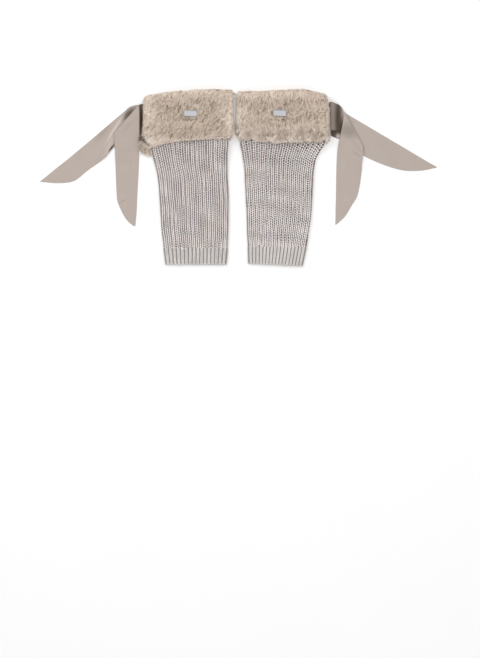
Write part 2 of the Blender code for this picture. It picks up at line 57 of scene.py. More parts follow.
# Camera: straight above, so far away that the photograph's 658 rows cover 1250 mm of table
PIXEL = 1.9
PHOTO_ROWS = 658
CAMERA_LENS = 170.0
CAMERA_SENSOR = 36.0
CAMERA_X = 2.85
CAMERA_Y = -286.9

# Knitted tube, two layers pressed together
KNIT_WALL = 3.0
PANEL_SLIT = 0.3
THICKNESS = 2.0 * KNIT_WALL + PANEL_SLIT
RIBS = 16
ROUND = 2 * RIBS + 2
RIB_HEIGHT = 1.1
LIFT_LENGTH = 30.0

# Fur cuff, as the heights of the pile's tips and the room that the knit takes inside it
CUFF_TOP = 27.0
CUFF_CROWN = 2.0
CUFF_RIM = 1.2
CUFF_CLEARANCE = 0.75
CUFF_BACK = 6.5
CUFF_SIDE_RADIUS = 13.0
LABEL_DENT = 2.6
LABEL_DENT_RADIUS = 24.0

# Blank woven label
LABEL_WIDTH = 26.0
LABEL_HEIGHT = 12.5
LABEL_THICKNESS = 0.7
LABEL_TILT_DEGREES = -2.5
LABEL_FOLLOWS_DENT = 0.9
# How far in from its edges the label's painted shade reaches
LABEL_PAINTED_SHADE_WIDTH = 2.4
LABEL_SEAM_IN = 1.3
LABEL_SEAM_HALF_WIDTH = 0.5
LABEL_SEAM_DEPTH = 0.16

# Satin ribbon, two layers sewn edge to edge
RIBBON_THICKNESS = 1.1
RIBBON_REST = 0.62
FOLD_RADIUS = 1.3
FOLD_STATIONS = 7
RIBBON_POINTS = 25

# Its edges: what share of the thickness they keep, how wide they round off, how much painted
# highlight they take, and the seam beside them: how far in, how wide and how deep
EDGE_SHARE = 0.45
EDGE_WIDTH = 1.2
EDGE_PAINTED_HIGHLIGHT = 0.45
SEAM_IN = 3.2
SEAM_HALF_WIDTH = 0.8
SEAM_DEPTH = 0.13

# The lowest that a fine point lies over the table, how far round its side a cuff counts as
# resting (the sine of the angle), and how many points each rib of a shell has
TABLE_CLEAR = 0.05
BACK_FACING = -0.35
SHELL_POINTS = 4


def table(columns, *rows):
    """A table of numbers as its named columns."""
    return namedtuple("Table", columns)(*np.array(rows, float).T)


KNIT_COLUMNS = "y left right"
KNIT_LEFT = table(
    KNIT_COLUMNS,
    (-133, -143.5, -19),
    (-103, -147, -18),
    (-72, -149.5, -17.5),
    (-42, -151.5, -17),
    (-11, -153.5, -18.5),
    (8, -156, -19.5),
    (22, -159.5, -19.5),
    (36, -163, -19.5),
    (50, -166.5, -19),
    (65, -169, -17.5),
    (80, -169, -18.5),
    (110, -168, -20),
    (151, -167, -21),
)
KNIT_RIGHT = table(
    KNIT_COLUMNS,
    (-130.5, 16.5, 130.5),
    (-103, 14.5, 135),
    (-72, 14, 139.5),
    (-42, 12.5, 141.5),
    (-11, 10.5, 143),
    (8, 10, 143.5),
    (22, 8.5, 145.5),
    (36, 6.5, 148.5),
    (50, 4.5, 156),
    (65, 1.5, 165.5),
    (80, 2, 165),
    (110, 5.5, 161.5),
    (153, 6.5, 160.5),
)

HEM_COLUMNS = "y_left y_right left right"
HEM_LEFT = table(
    HEM_COLUMNS,
    (-164.8, -164.3, -139.5, -22.5),
    (-161.5, -161, -140.5, -21.5),
    (-147, -147, -142, -20),
    (-133.3, -133.3, -143.5, -19),
)
HEM_RIGHT = table(
    HEM_COLUMNS,
    (-163, -167.4, 17.5, 122.5),
    (-159.8, -164.2, 17, 123.5),
    (-146, -148, 16.8, 127),
    (-130.8, -130.8, 16.5, 130.5),
)

CUFF_COLUMNS = "along front_left front_right back_left back_right"
CUFF_LEFT = table(
    CUFF_COLUMNS,
    (0.00, -169, -15, -169, -15),
    (0.03, -174, -11, -174, -11),
    (0.08, -177.5, -9.5, -177, -9.5),
    (0.17, -179.5, -8.7, -179, -8.7),
    (0.32, -180, -8.5, -179.5, -8.5),
    (0.50, -180, -8, -180, -8.2),
    (0.69, -179.5, -8, -182.5, -8.2),
    (0.82, -179.5, -8.5, -191.5, -8.5),
    (0.92, -178.5, -9.5, -193, -9.5),
    (0.97, -175.5, -11.5, -188, -11.5),
    (1.00, -172, -14, -179, -14),
)
CUFF_RIGHT = table(
    CUFF_COLUMNS,
    (0.00, 4.5, 159.5, 4, 158),
    (0.03, -0.5, 163, -0.5, 162),
    (0.08, -3, 166, -3, 165),
    (0.17, -4.5, 169, -4.5, 168.5),
    (0.32, -4.8, 171, -5, 171),
    (0.50, -4.8, 171.5, -6, 171.5),
    (0.68, -4.8, 171.5, -7.5, 171.5),
    (0.83, -4, 171.5, -7.8, 171.5),
    (0.92, -3, 171, -6, 171),
    (0.97, -1.8, 169.5, -3, 169.5),
    (1.00, -0.5, 168.5, -1, 168.5),
)

CuffEdges = namedtuple("CuffEdges", "top front_bottom back_bottom")
EDGES_LEFT = CuffEdges(
    top=(157, 162.5, 164.5, 166.5, 167.5, 166.5),
    front_bottom=(60, 68, 71.5, 73, 74, 75.5),
    back_bottom=(43.5, 52, 60, 65, 69, 73),
)
EDGES_RIGHT = CuffEdges(
    top=(164, 164, 165.5, 167, 167.5, 160),
    front_bottom=(76, 72.5, 69, 71, 71.5, 72),
    back_bottom=(71.5, 70, 69, 70, 71, 71),
)

# Ribbons, row by row: the outer edge a, the inner edge b, and how far the middle bows up
RIBBON_COLUMNS = "ax ay az bx by bz bow"
FRONT_RIBBON_LEFT_BAND = table(
    RIBBON_COLUMNS,
    (-181, 140.5, 8.5, -181, 81.5, 8, 0.5),
    (-185.5, 140, 5.6, -187.5, 80.5, 5.2, 0),
    (-189, 138, 3.5, -194, 80, 3.5, 0),
)
FRONT_RIBBON_LEFT_TAIL = table(
    RIBBON_COLUMNS,
    (-188, 125.5, 6.4, -235, 76, 6.2, 0.8),
    (-188, 106.5, 6.2, -234.6, 61, 5.8, 0.8),
    (-188.2, 82, 5.6, -234.3, 42, 4.2, 0.3),
    (-188.6, 53, 2.6, -233.7, 23, 1.6, 0.5),
    (-189.5, 15, 0.7, -232.8, -4, 0.7, 0.6),
    (-191.5, -23, 0.7, -231.7, -28.5, 0.7, 0.2),
    (-192.4, -42, 0.7, -230.3, -43.5, 0.7, 0.4),
    (-193, -57, 0.7, -225.2, -57, 0.7, 0.1),
    (-193.9, -70.5, 0.7, -218, -71.5, 0.7, 0),
    (-195, -82, 0.7, -210, -82.5, 0.7, 0),
    (-196, -91, 0.7, -199, -91.5, 0.7, 0),
)
BACK_RIBBON_LEFT = table(
    RIBBON_COLUMNS,
    (-181, 138.5, 4.2, -181, 80.5, 3.6, 0),
    (-186, 139.5, 1.9, -190, 79, 1.2, -0.4),
    (-191.5, 139, 1.2, -199, 75.5, 0.8, -0.2),
    (-199, 137.5, 2.8, -212, 70, 0.7, -1.1),
    (-208, 134, 3.6, -227, 64, 0.7, -1.2),
    (-217.5, 125.5, 2.2, -238.5, 57, 2.4, -1),
    (-240, 107, 0.8, -252, 40, 3.2, 0.4),
    (-268.5, 82.5, 0.7, -269, 26.5, 0.8, 0.6),
    (-297, 58.5, 0.7, -288, 13, 0.7, 0.5),
    (-324, 36, 0.7, -309, -4, 0.7, 0.4),
    (-347, 18, 0.7, -328, -9.2, 0.7, 0.2),
    (-364, 4, 0.7, -350.5, -9.6, 0.7, 0),
    (-371.5, -2, 0.7, -366, -8.2, 0.7, 0),
    (-377, -6.2, 0.7, -375.5, -7.6, 0.7, 0),
)
FRONT_RIBBON_RIGHT_BAND = table(
    RIBBON_COLUMNS,
    (172, 143.5, 8, 172, 90, 8, 0.6),
    (177, 144, 11.6, 177, 90, 11.2, 1),
    (184, 141.5, 9, 183.5, 90, 8.2, 0.4),
    (191, 138.5, 5.2, 191, 88.5, 4.6, 0),
    (197.5, 131.5, 3.4, 206, 81, 3.2, 0),
)
FRONT_RIBBON_RIGHT_TAIL = table(
    RIBBON_COLUMNS,
    (199, 111, 6.4, 236.5, 47, 5.2, 1),
    (195.5, 91, 6, 236, 38, 4.4, -0.4),
    (192.5, 76, 4.8, 234.5, 26.5, 3.2, 0.4),
    (189, 60, 3, 234, 15, 1.6, 1.2),
    (186.5, 34, 1.2, 232.5, 0, 0.8, 0.8),
    (185.5, -4, 0.7, 229.5, -19, 0.7, 0.5),
    (185, -36, 0.7, 225, -36, 0.7, 0.2),
    (184.5, -53, 0.7, 214.5, -53.5, 0.7, 0.1),
    (184.2, -70, 0.7, 204, -71, 0.7, 0),
    (184, -82, 0.7, 193.5, -82, 0.7, 0),
    (183.8, -88.5, 0.7, 185.8, -88.5, 0.7, 0),
)
BACK_RIBBON_RIGHT = table(
    RIBBON_COLUMNS,
    (172, 136.5, 4, 172, 84, 4, 0),
    (178, 135, 2.2, 178, 79, 2, 0),
    (189, 131, 1, 191, 74, 0.9, 0),
    (200.5, 124.8, 0.7, 206, 66, 0.7, 0.3),
    (223, 111.5, 0.7, 231, 46.5, 0.7, 0.3),
    (253.5, 93.5, 0.7, 254, 34, 0.7, 0.9),
    (285, 74.8, 0.7, 284, 22, 0.7, 0.7),
    (314.5, 57.5, 0.7, 312, 14.5, 0.7, 0.5),
    (337, 44, 0.7, 338, 13.3, 0.7, 0.3),
    (356, 32.8, 0.7, 358, 15.6, 0.7, 0.1),
    (368.5, 25.6, 0.7, 369.5, 18.2, 0.7, 0),
    (376.6, 21.2, 0.7, 377, 19.8, 0.7, 0),
)

Fold = namedtuple("Fold", "ax ay bx by z")
FOLD_LEFT = Fold(-189, 136.5, -235.5, 84, 4.8)
FOLD_RIGHT = Fold(200.5, 125, 236.5, 58, 4.6)

LabelPlace = namedtuple("LabelPlace", "x y")
LABEL_LEFT = LabelPlace(-91, 121)
LABEL_RIGHT = LabelPlace(78, 121.5)

# Stitches: the height of a row, the rows of the hem, the top of the rows that are knitted, and
# how a stitch's two legs lie in its rib: across in ribs from the rib's middle, along in rows.
# Bars cross the groove beside the rib, and webs cross between its two legs. The last numbers
# are how deep half a crossing is, how far a grain's ends dive, and a step outwards by which
# the surface's own direction is found
ROW_PITCH = 4.4
HEM_ROWS = 10
STITCH_TOP = 84
RIB_PITCH = 8.4
Cross = namedtuple("Cross", "place row half_width lift reach")
Stitch = namedtuple("Stitch", "foot head reach half_width half_depth crest fall crossings")
LEG_STITCH = Stitch(
    foot=0.200, head=0.282, reach=1.40, half_width=1.00, half_depth=0.78, crest=0.55, fall=1.5,
    crossings=(
        Cross(place=0, row=0.62, half_width=0.92, lift=-0.38, reach=0.20),
        Cross(place=0.5, row=0.12, half_width=1.10, lift=-0.38, reach=0.18),
    ),
)
HEM_STITCH = Stitch(
    foot=0.11, head=0.235, reach=1.60, half_width=1.45, half_depth=0.90, crest=0.55, fall=4,
    crossings=(),
)
CROSS_DEPTH = 0.45
GRAIN_DIVE = 0.30
OUTWARD_STEP = 0.5

# Creases: where a soft trough or ridge (negative depth) runs, its half length and half width,
# the way it runs in degrees from +X, and its depth
Crease = namedtuple("Crease", "x y half_length half_width degrees depth")


def creases(*rows):
    """Creases from rows of numbers."""
    return [Crease(*row) for row in rows]


RIBBON_CREASES = {
    "satin_front_left": creases(
        (-212, -41, 11, 1.6, 12, 0.55),
        (-224, -47, 8, 2, -38, -0.40),
        (-214, 46, 16, 2.6, 4, 0.45),
        (-210, 28, 13, 2.2, -6, 0.40),
        (-205, 78, 12, 4, 30, 0.50),
        (-222, 8, 5, 12, 80, -0.30),
    ),
    "satin_back_left": creases(
        (-246, 66, 30, 3, 70, -0.60),
        (-262, 52, 22, 4, 64, 0.40),
        (-300, 30, 26, 5, 40, -0.35),
        (-336, 2, 18, 3.5, 30, 0.30),
    ),
    "satin_front_right": creases(
        (230, 52, 12, 2, -62, 0.55),
        (206, 94, 10, 3, 10, 0.60),
        (224, 47, 9, 1.8, 14, 0.50),
        (208, -8, 20, 5, 84, -0.35),
        (203, 36, 12, 4, 76, 0.30),
    ),
    "satin_back_right": creases(
        (262, 70, 28, 4, -30, 0.35),
        (300, 42, 30, 5, -27, -0.35),
        (340, 28, 16, 3, -20, 0.25),
    ),
}
KNIT_CREASES = {
    "left": creases(
        (-150, 40, 34, 6, 76, 0.7),
        (-92, 30, 40, 7, 4, 0.5),
        (-60, -60, 46, 9, 82, 0.4),
        (-120, -96, 30, 8, 12, 0.4),
    ),
    "right": creases(
        (138, 46, 30, 6, 48, 0.8),
        (70, 10, 44, 8, -5, 0.5),
        (40, -40, 40, 9, 96, 0.4),
        (100, -86, 30, 8, 70, 0.5),
    ),
}

# In the fur, each crease presses the pile down and darkens it: painted shade in the crease
FUR_CREASES_AND_PAINTED_SHADES = {
    "left": creases(
        (-173.5, 70, 11, 2.6, -56, 0.8),
        (-182, 79, 8, 4.5, -30, 0.9),
        (-180, 59, 13, 9, -60, 0.35),
    ),
    "right": creases((-4.5, 88, 8, 2.8, -66, 0.8)),
}
FUR_SWELLS = {
    "left": creases((-184, 79, 9, 5, 0, 4)),
    "right": creases(),
}

# Where the satin carries painted shade, a mix towards its deep colour, or a painted highlight
# (loss below 0): middle, half length, half width, the way it runs in degrees, share of its
# colour lost, and the stretch of the ribbon's length that it lies on
PaintedShade = namedtuple("PaintedShade", "x y half_length half_width degrees loss start end")


def painted_shades(*rows):
    """Painted shades and painted highlights from rows of numbers."""
    return [PaintedShade(*row) for row in rows]


RIBBON_PAINTED_SHADES = {
    "satin_front_left": painted_shades(
        (-184, 108, 52, 9, 90, 1, 0, 12.5),
        (-209.5, 117.5, 36, 1.5, 48, -0.60, 13, 21),
        (-204, 96, 22, 10, 48, 0.10, 14, 60),
        (-212, 31, 14, 0.9, 3, 0.14, 30, 200),
        (-208, 48, 18, 1.4, -4, -0.15, 30, 200),
        (-220, -44, 7, 0.9, 30, 0.30, 30, 200),
    ),
    "satin_back_left": painted_shades(
        (-207.5, 121, 16, 7.5, 48, 0.83, 0, 90),
        (-236, 92, 30, 2.4, 58, -0.60, 20, 140),
        (-241, 57, 9, 2.2, 52, 0.97, 20, 140),
        (-258, 88, 26, 6, 55, 0.14, 20, 140),
        (-245, 62, 22, 3.5, 62, -0.25, 20, 140),
    ),
    "satin_front_right": painted_shades(
        (180, 112, 80, 20, 90, 0.36, 0, 34),
        (176.5, 112, 48, 3, 90, 0.22, 0, 34),
        (189.5, 112, 52, 7, 90, 0.85, 4, 34),
        (195.5, 96, 18, 4.5, 84, 0.95, 4, 34),
        (208, 90, 18, 13, -20, 0.33, 34, 120),
        (224, 45, 10, 1, -35, 0.25, 34, 200),
        (205, 18, 12, 1.5, 60, 0.08, 34, 200),
    ),
    "satin_back_right": painted_shades(
        (184, 84, 30, 18, -30, 0.92, 0, 34),
        (186, 128, 16, 7, -20, 0.43, 0, 34),
        (190, 79, 5, 4.5, -35, -0.60, 0, 34),
    ),
}

# Fur: how many locks a cuff has, how many share a strand and how many times longer than wide
# it is, how far the locks lie over and how much further where they are curly, and where in
# the pile's depth their roots lie
LOCKS = 24800
LOCKS_IN_CLUMP = 9
STRAND_STRETCH = 3.4
LOCK_LENGTH = 7.5
LOCK_LENGTH_WHERE_CURLY = 5.0
FUZZ = 0.9
ROOT_SHARE = 0.58
BACK_DENSITY = 0.36
# The pile's lowest tone, below which only the painted shade of its creases goes
PAINTED_CREASE_SHADE_TONE = 0.05

# How much fewer strands there are where it is curly, and how unevenly a strand leans, and a
# lock in its strand, in radians
FEWER_WHERE_CURLY = 0.75
CLUMP_LEAN = 0.13
LOCK_LEAN = 0.15

# How thin and how thick a lock is at its root, as half its width, and how high its middle
# and its tip stay over the knit at the cuff's lower edge
LOCK_HALF_WIDTHS = (0.50, 0.95)
MIDDLE_OVER_KNIT = 1.6
TIP_OVER_KNIT = 0.9

# Zones of the cuff, with where each starts and how wide its start is: its outline and the
# side that faces the other cuff, in half sizes of the cuff, and its lower edge, along it
OUTLINE_ZONE = (0.84, 0.14)
PAIR_ZONE = (0.86, 0.10)
LOWER_EDGE_ZONE = (0.86, 0.08)
LOWER_EDGE_FLATNESS = 0.85
LOWER_EDGE_SHORTER = 0.45

# Steps of the golden-ratio sequence in two dimensions, 1/g and 1/g^2 with g^3 = g + 1
EVEN_STEPS = (0.7548776662466927, 0.5698402909980532)
CUFF_HALF_WIDTH = 85.0
CUFF_HALF_HEIGHT = 48.0


def smoothstep(value):
    """0 below 0 and 1 above 1, and between them three squares less two cubes."""
    clipped = np.clip(value, 0.0, 1.0)
    return clipped * clipped * (3.0 - 2.0 * clipped)


def curve_through(table, places):
    """Values of a table (rows, columns) at places counted in rows, on cubic curves through
    the rows, each with the slope from its neighbours."""
    table = np.asarray(table, float)
    slope = np.gradient(table, axis=0)
    start = np.clip(np.floor(places).astype(int), 0, len(table) - 2)
    s = (places - start)[..., None]
    p, q = table[start], table[start + 1]
    m, n = slope[start], slope[start + 1]
    return (
        p * (2 * s**3 - 3 * s**2 + 1)
        + m * (s**3 - 2 * s**2 + s)
        + q * (3 * s**2 - 2 * s**3)
        + n * (s**3 - s**2)
    )


def unit(vectors):
    """Each vector over its length."""
    return vectors / np.maximum(np.linalg.norm(vectors, axis=-1, keepdims=True), 1e-9)


def waver(x, y, size, seed):
    """A slow uneven value from about -1 to 1: the sum of four sine waves across the place
    (x, y), each with its own direction and phase, with waves of about the size given."""
    rng = np.random.default_rng(seed)
    total = 0.0
    for _ in range(4):
        turn = rng.uniform(0.0, 2.0 * math.pi)
        phase = rng.uniform(0.0, 2.0 * math.pi)
        length = size * rng.uniform(0.7, 1.5)
        run = x * math.cos(turn) + y * math.sin(turn)
        total = total + np.sin(run * 2.0 * math.pi / length + phase)
    return total / 2.6


def oval_distance(spot, x, y):
    """How far places lie from a crease or a painted shade, squared and counted in its half sizes,
    so that it is 1 on an oval round it."""
    turn = math.radians(spot.degrees)
    dx, dy = x - spot.x, y - spot.y
    along = (dx * math.cos(turn) + dy * math.sin(turn)) / spot.half_length
    over = (dy * math.cos(turn) - dx * math.sin(turn)) / spot.half_width
    return along**2 + over**2


def crease_depth(creases, x, y):
    """Depth of the listed creases at the places (x, y): each is a long narrow bell, the
    product of a bell along its length and one across it."""
    total = np.zeros(np.shape(x))
    for crease in creases:
        total += crease.depth * np.exp(-oval_distance(crease, x, y))
    return total


def grid_quads(rows, columns, closed, start=0, turned=False):
    """Faces of a grid of points numbered row by row. A closed grid joins its last column to
    its first one."""
    row = np.arange(rows - 1)[:, None] * columns
    col = np.arange(columns if closed else columns - 1)[None, :]
    near = (col + 1) % columns
    quads = np.stack([row + col, row + near, row + columns + near, row + columns + col], axis=-1)
    quads = quads.reshape(-1, 4) + start
    return quads[:, ::-1] if turned else quads


def make_piece(name, points, quads, triangles, finish, values):
    """One mesh object from points in millimetres, faces of four and of three point numbers,
    and named values, one number or one triple for each point."""
    quads = np.asarray(quads, np.int32).reshape(-1, 4)
    triangles = np.asarray(triangles, np.int32).reshape(-1, 3)
    corners = np.concatenate([quads.ravel(), triangles.ravel()])
    starts = [np.arange(len(quads)) * 4, len(quads) * 4 + np.arange(len(triangles)) * 3]
    starts = np.concatenate(starts).astype(np.int32)
    mesh = bpy.data.meshes.new(name)
    mesh.vertices.add(len(points))
    mesh.vertices.foreach_set("co", (np.asarray(points, float) * MM).astype(np.float32).ravel())
    mesh.loops.add(len(corners))
    mesh.loops.foreach_set("vertex_index", corners)
    mesh.polygons.add(len(starts))
    mesh.polygons.foreach_set("loop_start", starts)
    mesh.update(calc_edges=True)
    for key, value in values.items():
        value = np.asarray(value, np.float32)
        if value.ndim == 1:
            mesh.attributes.new(key, "FLOAT", "POINT").data.foreach_set("value", value)
        else:
            made = mesh.attributes.new(key, "FLOAT_VECTOR", "POINT")
            made.data.foreach_set("vector", value.ravel())
    mesh.validate()
    mesh.shade_smooth()
    mesh.materials.append(finish)
    made = bpy.data.objects.new(name, mesh)
    bpy.context.scene.collection.objects.link(made)
    return made


# Materials

WHITE = (1.0, 1.0, 1.0)


class Recipe:
    """A material and its node tree, with short ways to add nodes and join them."""

    def __init__(self, name):
        self.made = bpy.data.materials.new(name)
        self.made.use_nodes = True
        self.tree = self.made.node_tree
        self.shader = self.tree.nodes["Principled BSDF"]

    def node(self, kind, inputs=None, **settings):
        """A node with its settings, and with inputs joined to sockets or set to values."""
        made = self.tree.nodes.new(kind)
        for key, value in settings.items():
            setattr(made, key, value)
        for key, value in (inputs or {}).items():
            if isinstance(value, bpy.types.NodeSocket):
                self.tree.links.new(value, made.inputs[key])
            else:
                made.inputs[key].default_value = value
        return made

    def ramp(self, factor, stops):
        """The colour at a factor on a ramp of stops, each a place and a colour."""
        made = self.node("ShaderNodeValToRGB", {"Fac": factor})
        elements = made.color_ramp.elements
        while len(elements) < len(stops):
            elements.new(0.5)
        for element, (place, color) in zip(elements, stops):
            element.position = place
            element.color = (*color, 1.0)
        return made.outputs["Color"]

    def stirred(self, value, noise, share):
        """The value, moved up and down by a share of the noise."""
        inputs = {0: noise, 1: share, 2: value}
        added = self.node("ShaderNodeMath", inputs, operation="MULTIPLY_ADD").outputs[0]
        lowered = self.node("ShaderNodeMath", {0: added, 1: share / 2.0}, operation="SUBTRACT")
        return lowered.outputs[0]

    def mix(self, kind, factor, first, second):
        """Two colours mixed, or multiplied, by a factor."""
        inputs = {0: factor, 6: first, 7: second}
        return self.node("ShaderNodeMix", inputs, data_type="RGBA", blend_type=kind).outputs[2]

    def tinted(self, color, factor, stops):
        """The colour times that of a ramp."""
        return self.mix("MULTIPLY", 1.0, color, self.ramp(factor, stops))

    def noise(self, vector, scale, detail=2.0, roughness=0.5):
        """Uneven values from 0 to 1, with so many bumps to a unit of the vector."""
        inputs = {"Vector": vector, "Scale": scale, "Detail": detail, "Roughness": roughness}
        return self.node("ShaderNodeTexNoise", inputs).outputs["Fac"]

    def attribute(self, name, output="Fac"):
        """A value that the mesh carries at its points."""
        return self.node("ShaderNodeAttribute", attribute_name=name).outputs[output]

    def stretched(self, vector, scale):
        """A vector times a scale for each direction."""
        return self.node("ShaderNodeMapping", {"Vector": vector, "Scale": scale}).outputs[0]

    def place(self):
        """The place in space, in metres."""
        return self.node("ShaderNodeTexCoord").outputs["Object"]

    def bump(self, height, strength, distance, normal=None):
        """The surface's direction, tilted by the slope of a height."""
        inputs = {"Height": height, "Strength": strength, "Distance": distance}
        if normal:
            inputs["Normal"] = normal
        return self.node("ShaderNodeBump", inputs).outputs[0]

    def finish(self, color, normal, **sockets):
        """Joins the colour and the direction to the shader and sets its other values."""
        self.tree.links.new(color, self.shader.inputs["Base Color"])
        self.tree.links.new(normal, self.shader.inputs["Normal"])
        for key, value in sockets.items():
            self.shader.inputs[key.replace("_", " ")].default_value = value
        return self.made


def yarn_material(name, painted_recess_shade, middle, light):
    """Wool yarn: painted shade, darker the deeper it lies in the fabric, with plies that wind along
    each strand, loose fibres and a slow unevenness of tone."""
    recipe = Recipe(name)
    depth = recipe.attribute("depth")
    place = recipe.place()
    fibres = recipe.noise(place, 2600.0, 3.0, 0.6)
    patches = recipe.noise(place, 42.0, 2.0, 0.5)
    yarn = recipe.attribute("yarn", "Vector")
    plies = recipe.node(
        "ShaderNodeTexWave",
        {"Vector": yarn, "Scale": 1.0, "Distortion": 0.6, "Detail": 1.0},
        bands_direction="DIAGONAL",
    ).outputs["Fac"]
    lit = recipe.stirred(depth, fibres, 0.16)
    color = recipe.ramp(lit, [(0.0, painted_recess_shade), (0.50, middle), (0.82, light)])
    color = recipe.tinted(color, patches, [(0.3, (0.90, 0.90, 0.91)), (0.7, WHITE)])
    tone = recipe.attribute("tone")
    color = recipe.tinted(color, tone, [(0.0, (0.88, 0.88, 0.88)), (1.0, WHITE)])
    normal = recipe.bump(plies, 0.35, 0.0003)
    normal = recipe.bump(fibres, 0.30, 0.0002, normal)
    sheen = {"Sheen_Weight": 0.25, "Sheen_Roughness": 0.5}
    return recipe.finish(color, normal, Roughness=0.92, Specular_IOR_Level=0.2, **sheen)


def fur_material(name, root, middle, tip):
    """Plush pile: dark at the roots and light at the tips, with hairs that run along each
    lock, and every lock and clump a little lighter or darker than the next. A painted highlight
    lightens and cools the pile towards the cuff's outline, and painted shade darkens it between
    curly strands. Only pile in a crease has the lowest tone, a painted shade."""
    recipe = Recipe(name)
    tips = recipe.attribute("tip")
    hair = recipe.attribute("hair", "Vector")
    hairs = recipe.noise(recipe.stretched(hair, (1.2, 14.0, 1.0)), 1.0, 2.0, 0.6)
    place = recipe.place()
    patches = recipe.noise(place, 36.0, 2.0, 0.55)
    fleck = recipe.stirred(tips, hairs, 0.30)
    color = recipe.ramp(fleck, [(0.05, root), (0.5, middle), (0.95, tip)])
    # The tone's ramp: its lowest stop is the painted shade of the creases, its highest the painted
    # highlight at the cuff's outline
    stops = [
        (0.0, (0.18, 0.16, 0.14)),
        (PAINTED_CREASE_SHADE_TONE, (0.50, 0.44, 0.39)),
        (0.45, (1.0, 0.99, 0.98)),
        (1.0, (1.20, 1.24, 1.28)),
    ]
    color = recipe.tinted(color, recipe.attribute("tone"), stops)
    color = recipe.tinted(color, patches, [(0.3, (0.90, 0.87, 0.84)), (0.7, WHITE)])
    normal = recipe.bump(hairs, 0.4, 0.0004)
    sheen = {"Sheen_Weight": 0.30, "Sheen_Roughness": 0.4}
    return recipe.finish(color, normal, Roughness=0.80, Specular_IOR_Level=0.25, **sheen)


def satin_material(name, deep, cloth, pale):
    """Heavy satin ribbon: fine threads across, floats along the ribbon as faint streaks in its
    colour (a weave pattern with a painted sheen), a slow cloudiness, painted shade towards a deep
    colour where it lies folded against the fur and in its folds, and painted highlights along its
    edges and ridges."""
    recipe = Recipe(name)
    weave = recipe.attribute("weave", "Vector")
    threads = recipe.noise(recipe.stretched(weave, (2.2, 9.0, 1.0)), 1.0, 2.0, 0.6)
    slubs = recipe.noise(recipe.stretched(weave, (0.06, 1.1, 1.0)), 1.0, 3.0, 0.6)
    place = recipe.place()
    clouds = recipe.noise(place, 26.0, 3.0, 0.55)
    color = recipe.ramp(clouds, [(0.3, tuple(0.955 * c for c in cloth)), (0.7, cloth)])
    color = recipe.tinted(color, threads, [(0.25, (0.94, 0.94, 0.94)), (0.75, WHITE)])
    color = recipe.tinted(color, slubs, [(0.3, (0.97, 0.968, 0.965)), (0.7, WHITE)])
    # Painted highlight: paler along the ribbon's edges and raised ridges
    color = recipe.mix("MIX", recipe.attribute("painted_highlight"), color, (*pale, 1.0))
    # Painted shade: darker towards the deep colour in the folds, beside the fur and in the gaps
    color = recipe.mix("MIX", recipe.attribute("painted_shade"), color, (*deep, 1.0))
    normal = recipe.bump(threads, 0.22, 0.00015)
    normal = recipe.bump(recipe.noise(place, 70.0, 2.0, 0.5), 0.10, 0.002, normal)
    sheen = {"Sheen_Weight": 0.04, "Sheen_Roughness": 0.4}
    return recipe.finish(color, normal, Roughness=0.46, Specular_IOR_Level=0.20, **sheen)


def label_material(name, cloth):
    """Silver-white damask label: tight rows of thread with a slight shine, and painted shade that
    darkens it towards its edges, where the pile shades it."""
    recipe = Recipe(name)
    weave = recipe.attribute("weave", "Vector")
    rows = recipe.node(
        "ShaderNodeTexWave",
        {"Vector": weave, "Scale": 0.9, "Distortion": 0.4, "Detail": 1.0},
        bands_direction="Y",
    ).outputs["Fac"]
    threads = recipe.noise(recipe.stretched(weave, (1.5, 6.0, 1.0)), 1.0, 2.0, 0.6)
    color = recipe.ramp(threads, [(0.25, tuple(0.86 * c for c in cloth)), (0.75, cloth)])
    color = recipe.tinted(color, rows, [(0.0, (0.80, 0.82, 0.85)), (1.0, WHITE)])
    # Painted shade: darker towards the label's edges
    color = recipe.tinted(color, recipe.attribute("rim"), [(0.0, WHITE), (1.0, (0.42, 0.43, 0.45))])
    normal = recipe.bump(rows, 0.3, 0.0002)
    normal = recipe.bump(threads, 0.2, 0.0001, normal)
    return recipe.finish(color, normal, Roughness=0.35, Specular_IOR_Level=0.5)


def floor_material(name, color):
    """Pale matt paper with a faint mottle."""
    recipe = Recipe(name)
    mottle = recipe.noise(recipe.place(), 6.0, 2.0, 0.5)
    tint = recipe.ramp(mottle, [(0.3, tuple(0.995 * c for c in color)), (0.7, color)])
    normal = recipe.bump(recipe.noise(recipe.place(), 300.0, 2.0, 0.5), 0.02, 0.001)
    return recipe.finish(tint, normal, Roughness=0.9, Specular_IOR_Level=0.1)


# The shapes of the knitted tube and the cuff


def around(turn, flat):
    """Place across (-1 to 1) and angle for a turn round a flattened tube: flat steps along
    the back from left to right, one round the right side, flat steps along the front from
    right to left, and one round the left side."""
    turn = np.mod(turn, 2 * flat + 2)
    where = [turn < flat, turn < flat + 1, turn < 2 * flat + 1]
    places = [2.0 * turn / flat - 1.0, 1.0, 1.0 - 2.0 * (turn - flat - 1) / flat]
    quarter = math.pi / 2.0
    angles = [-quarter, -quarter + math.pi * (turn - flat), quarter]
    last_side = quarter - math.pi * (turn - 2 * flat - 1)
    return np.select(where, places, -1.0), np.select(where, angles, last_side)


def knit_lift(y, lift_middle):
    """Height of the knit's underside: on the table, then up over the cuff's back layer."""
    return CUFF_BACK * smoothstep((y - lift_middle) / LIFT_LENGTH + 0.5)


def knit_edges(rows, y):
    """The tube's left and right edges at the places y, on smooth curves through the rows."""
    places = np.interp(y, rows.y, np.arange(len(rows.y)))
    found = curve_through(np.stack([rows.left, rows.right], axis=1), places)
    return found[..., 0], found[..., 1]


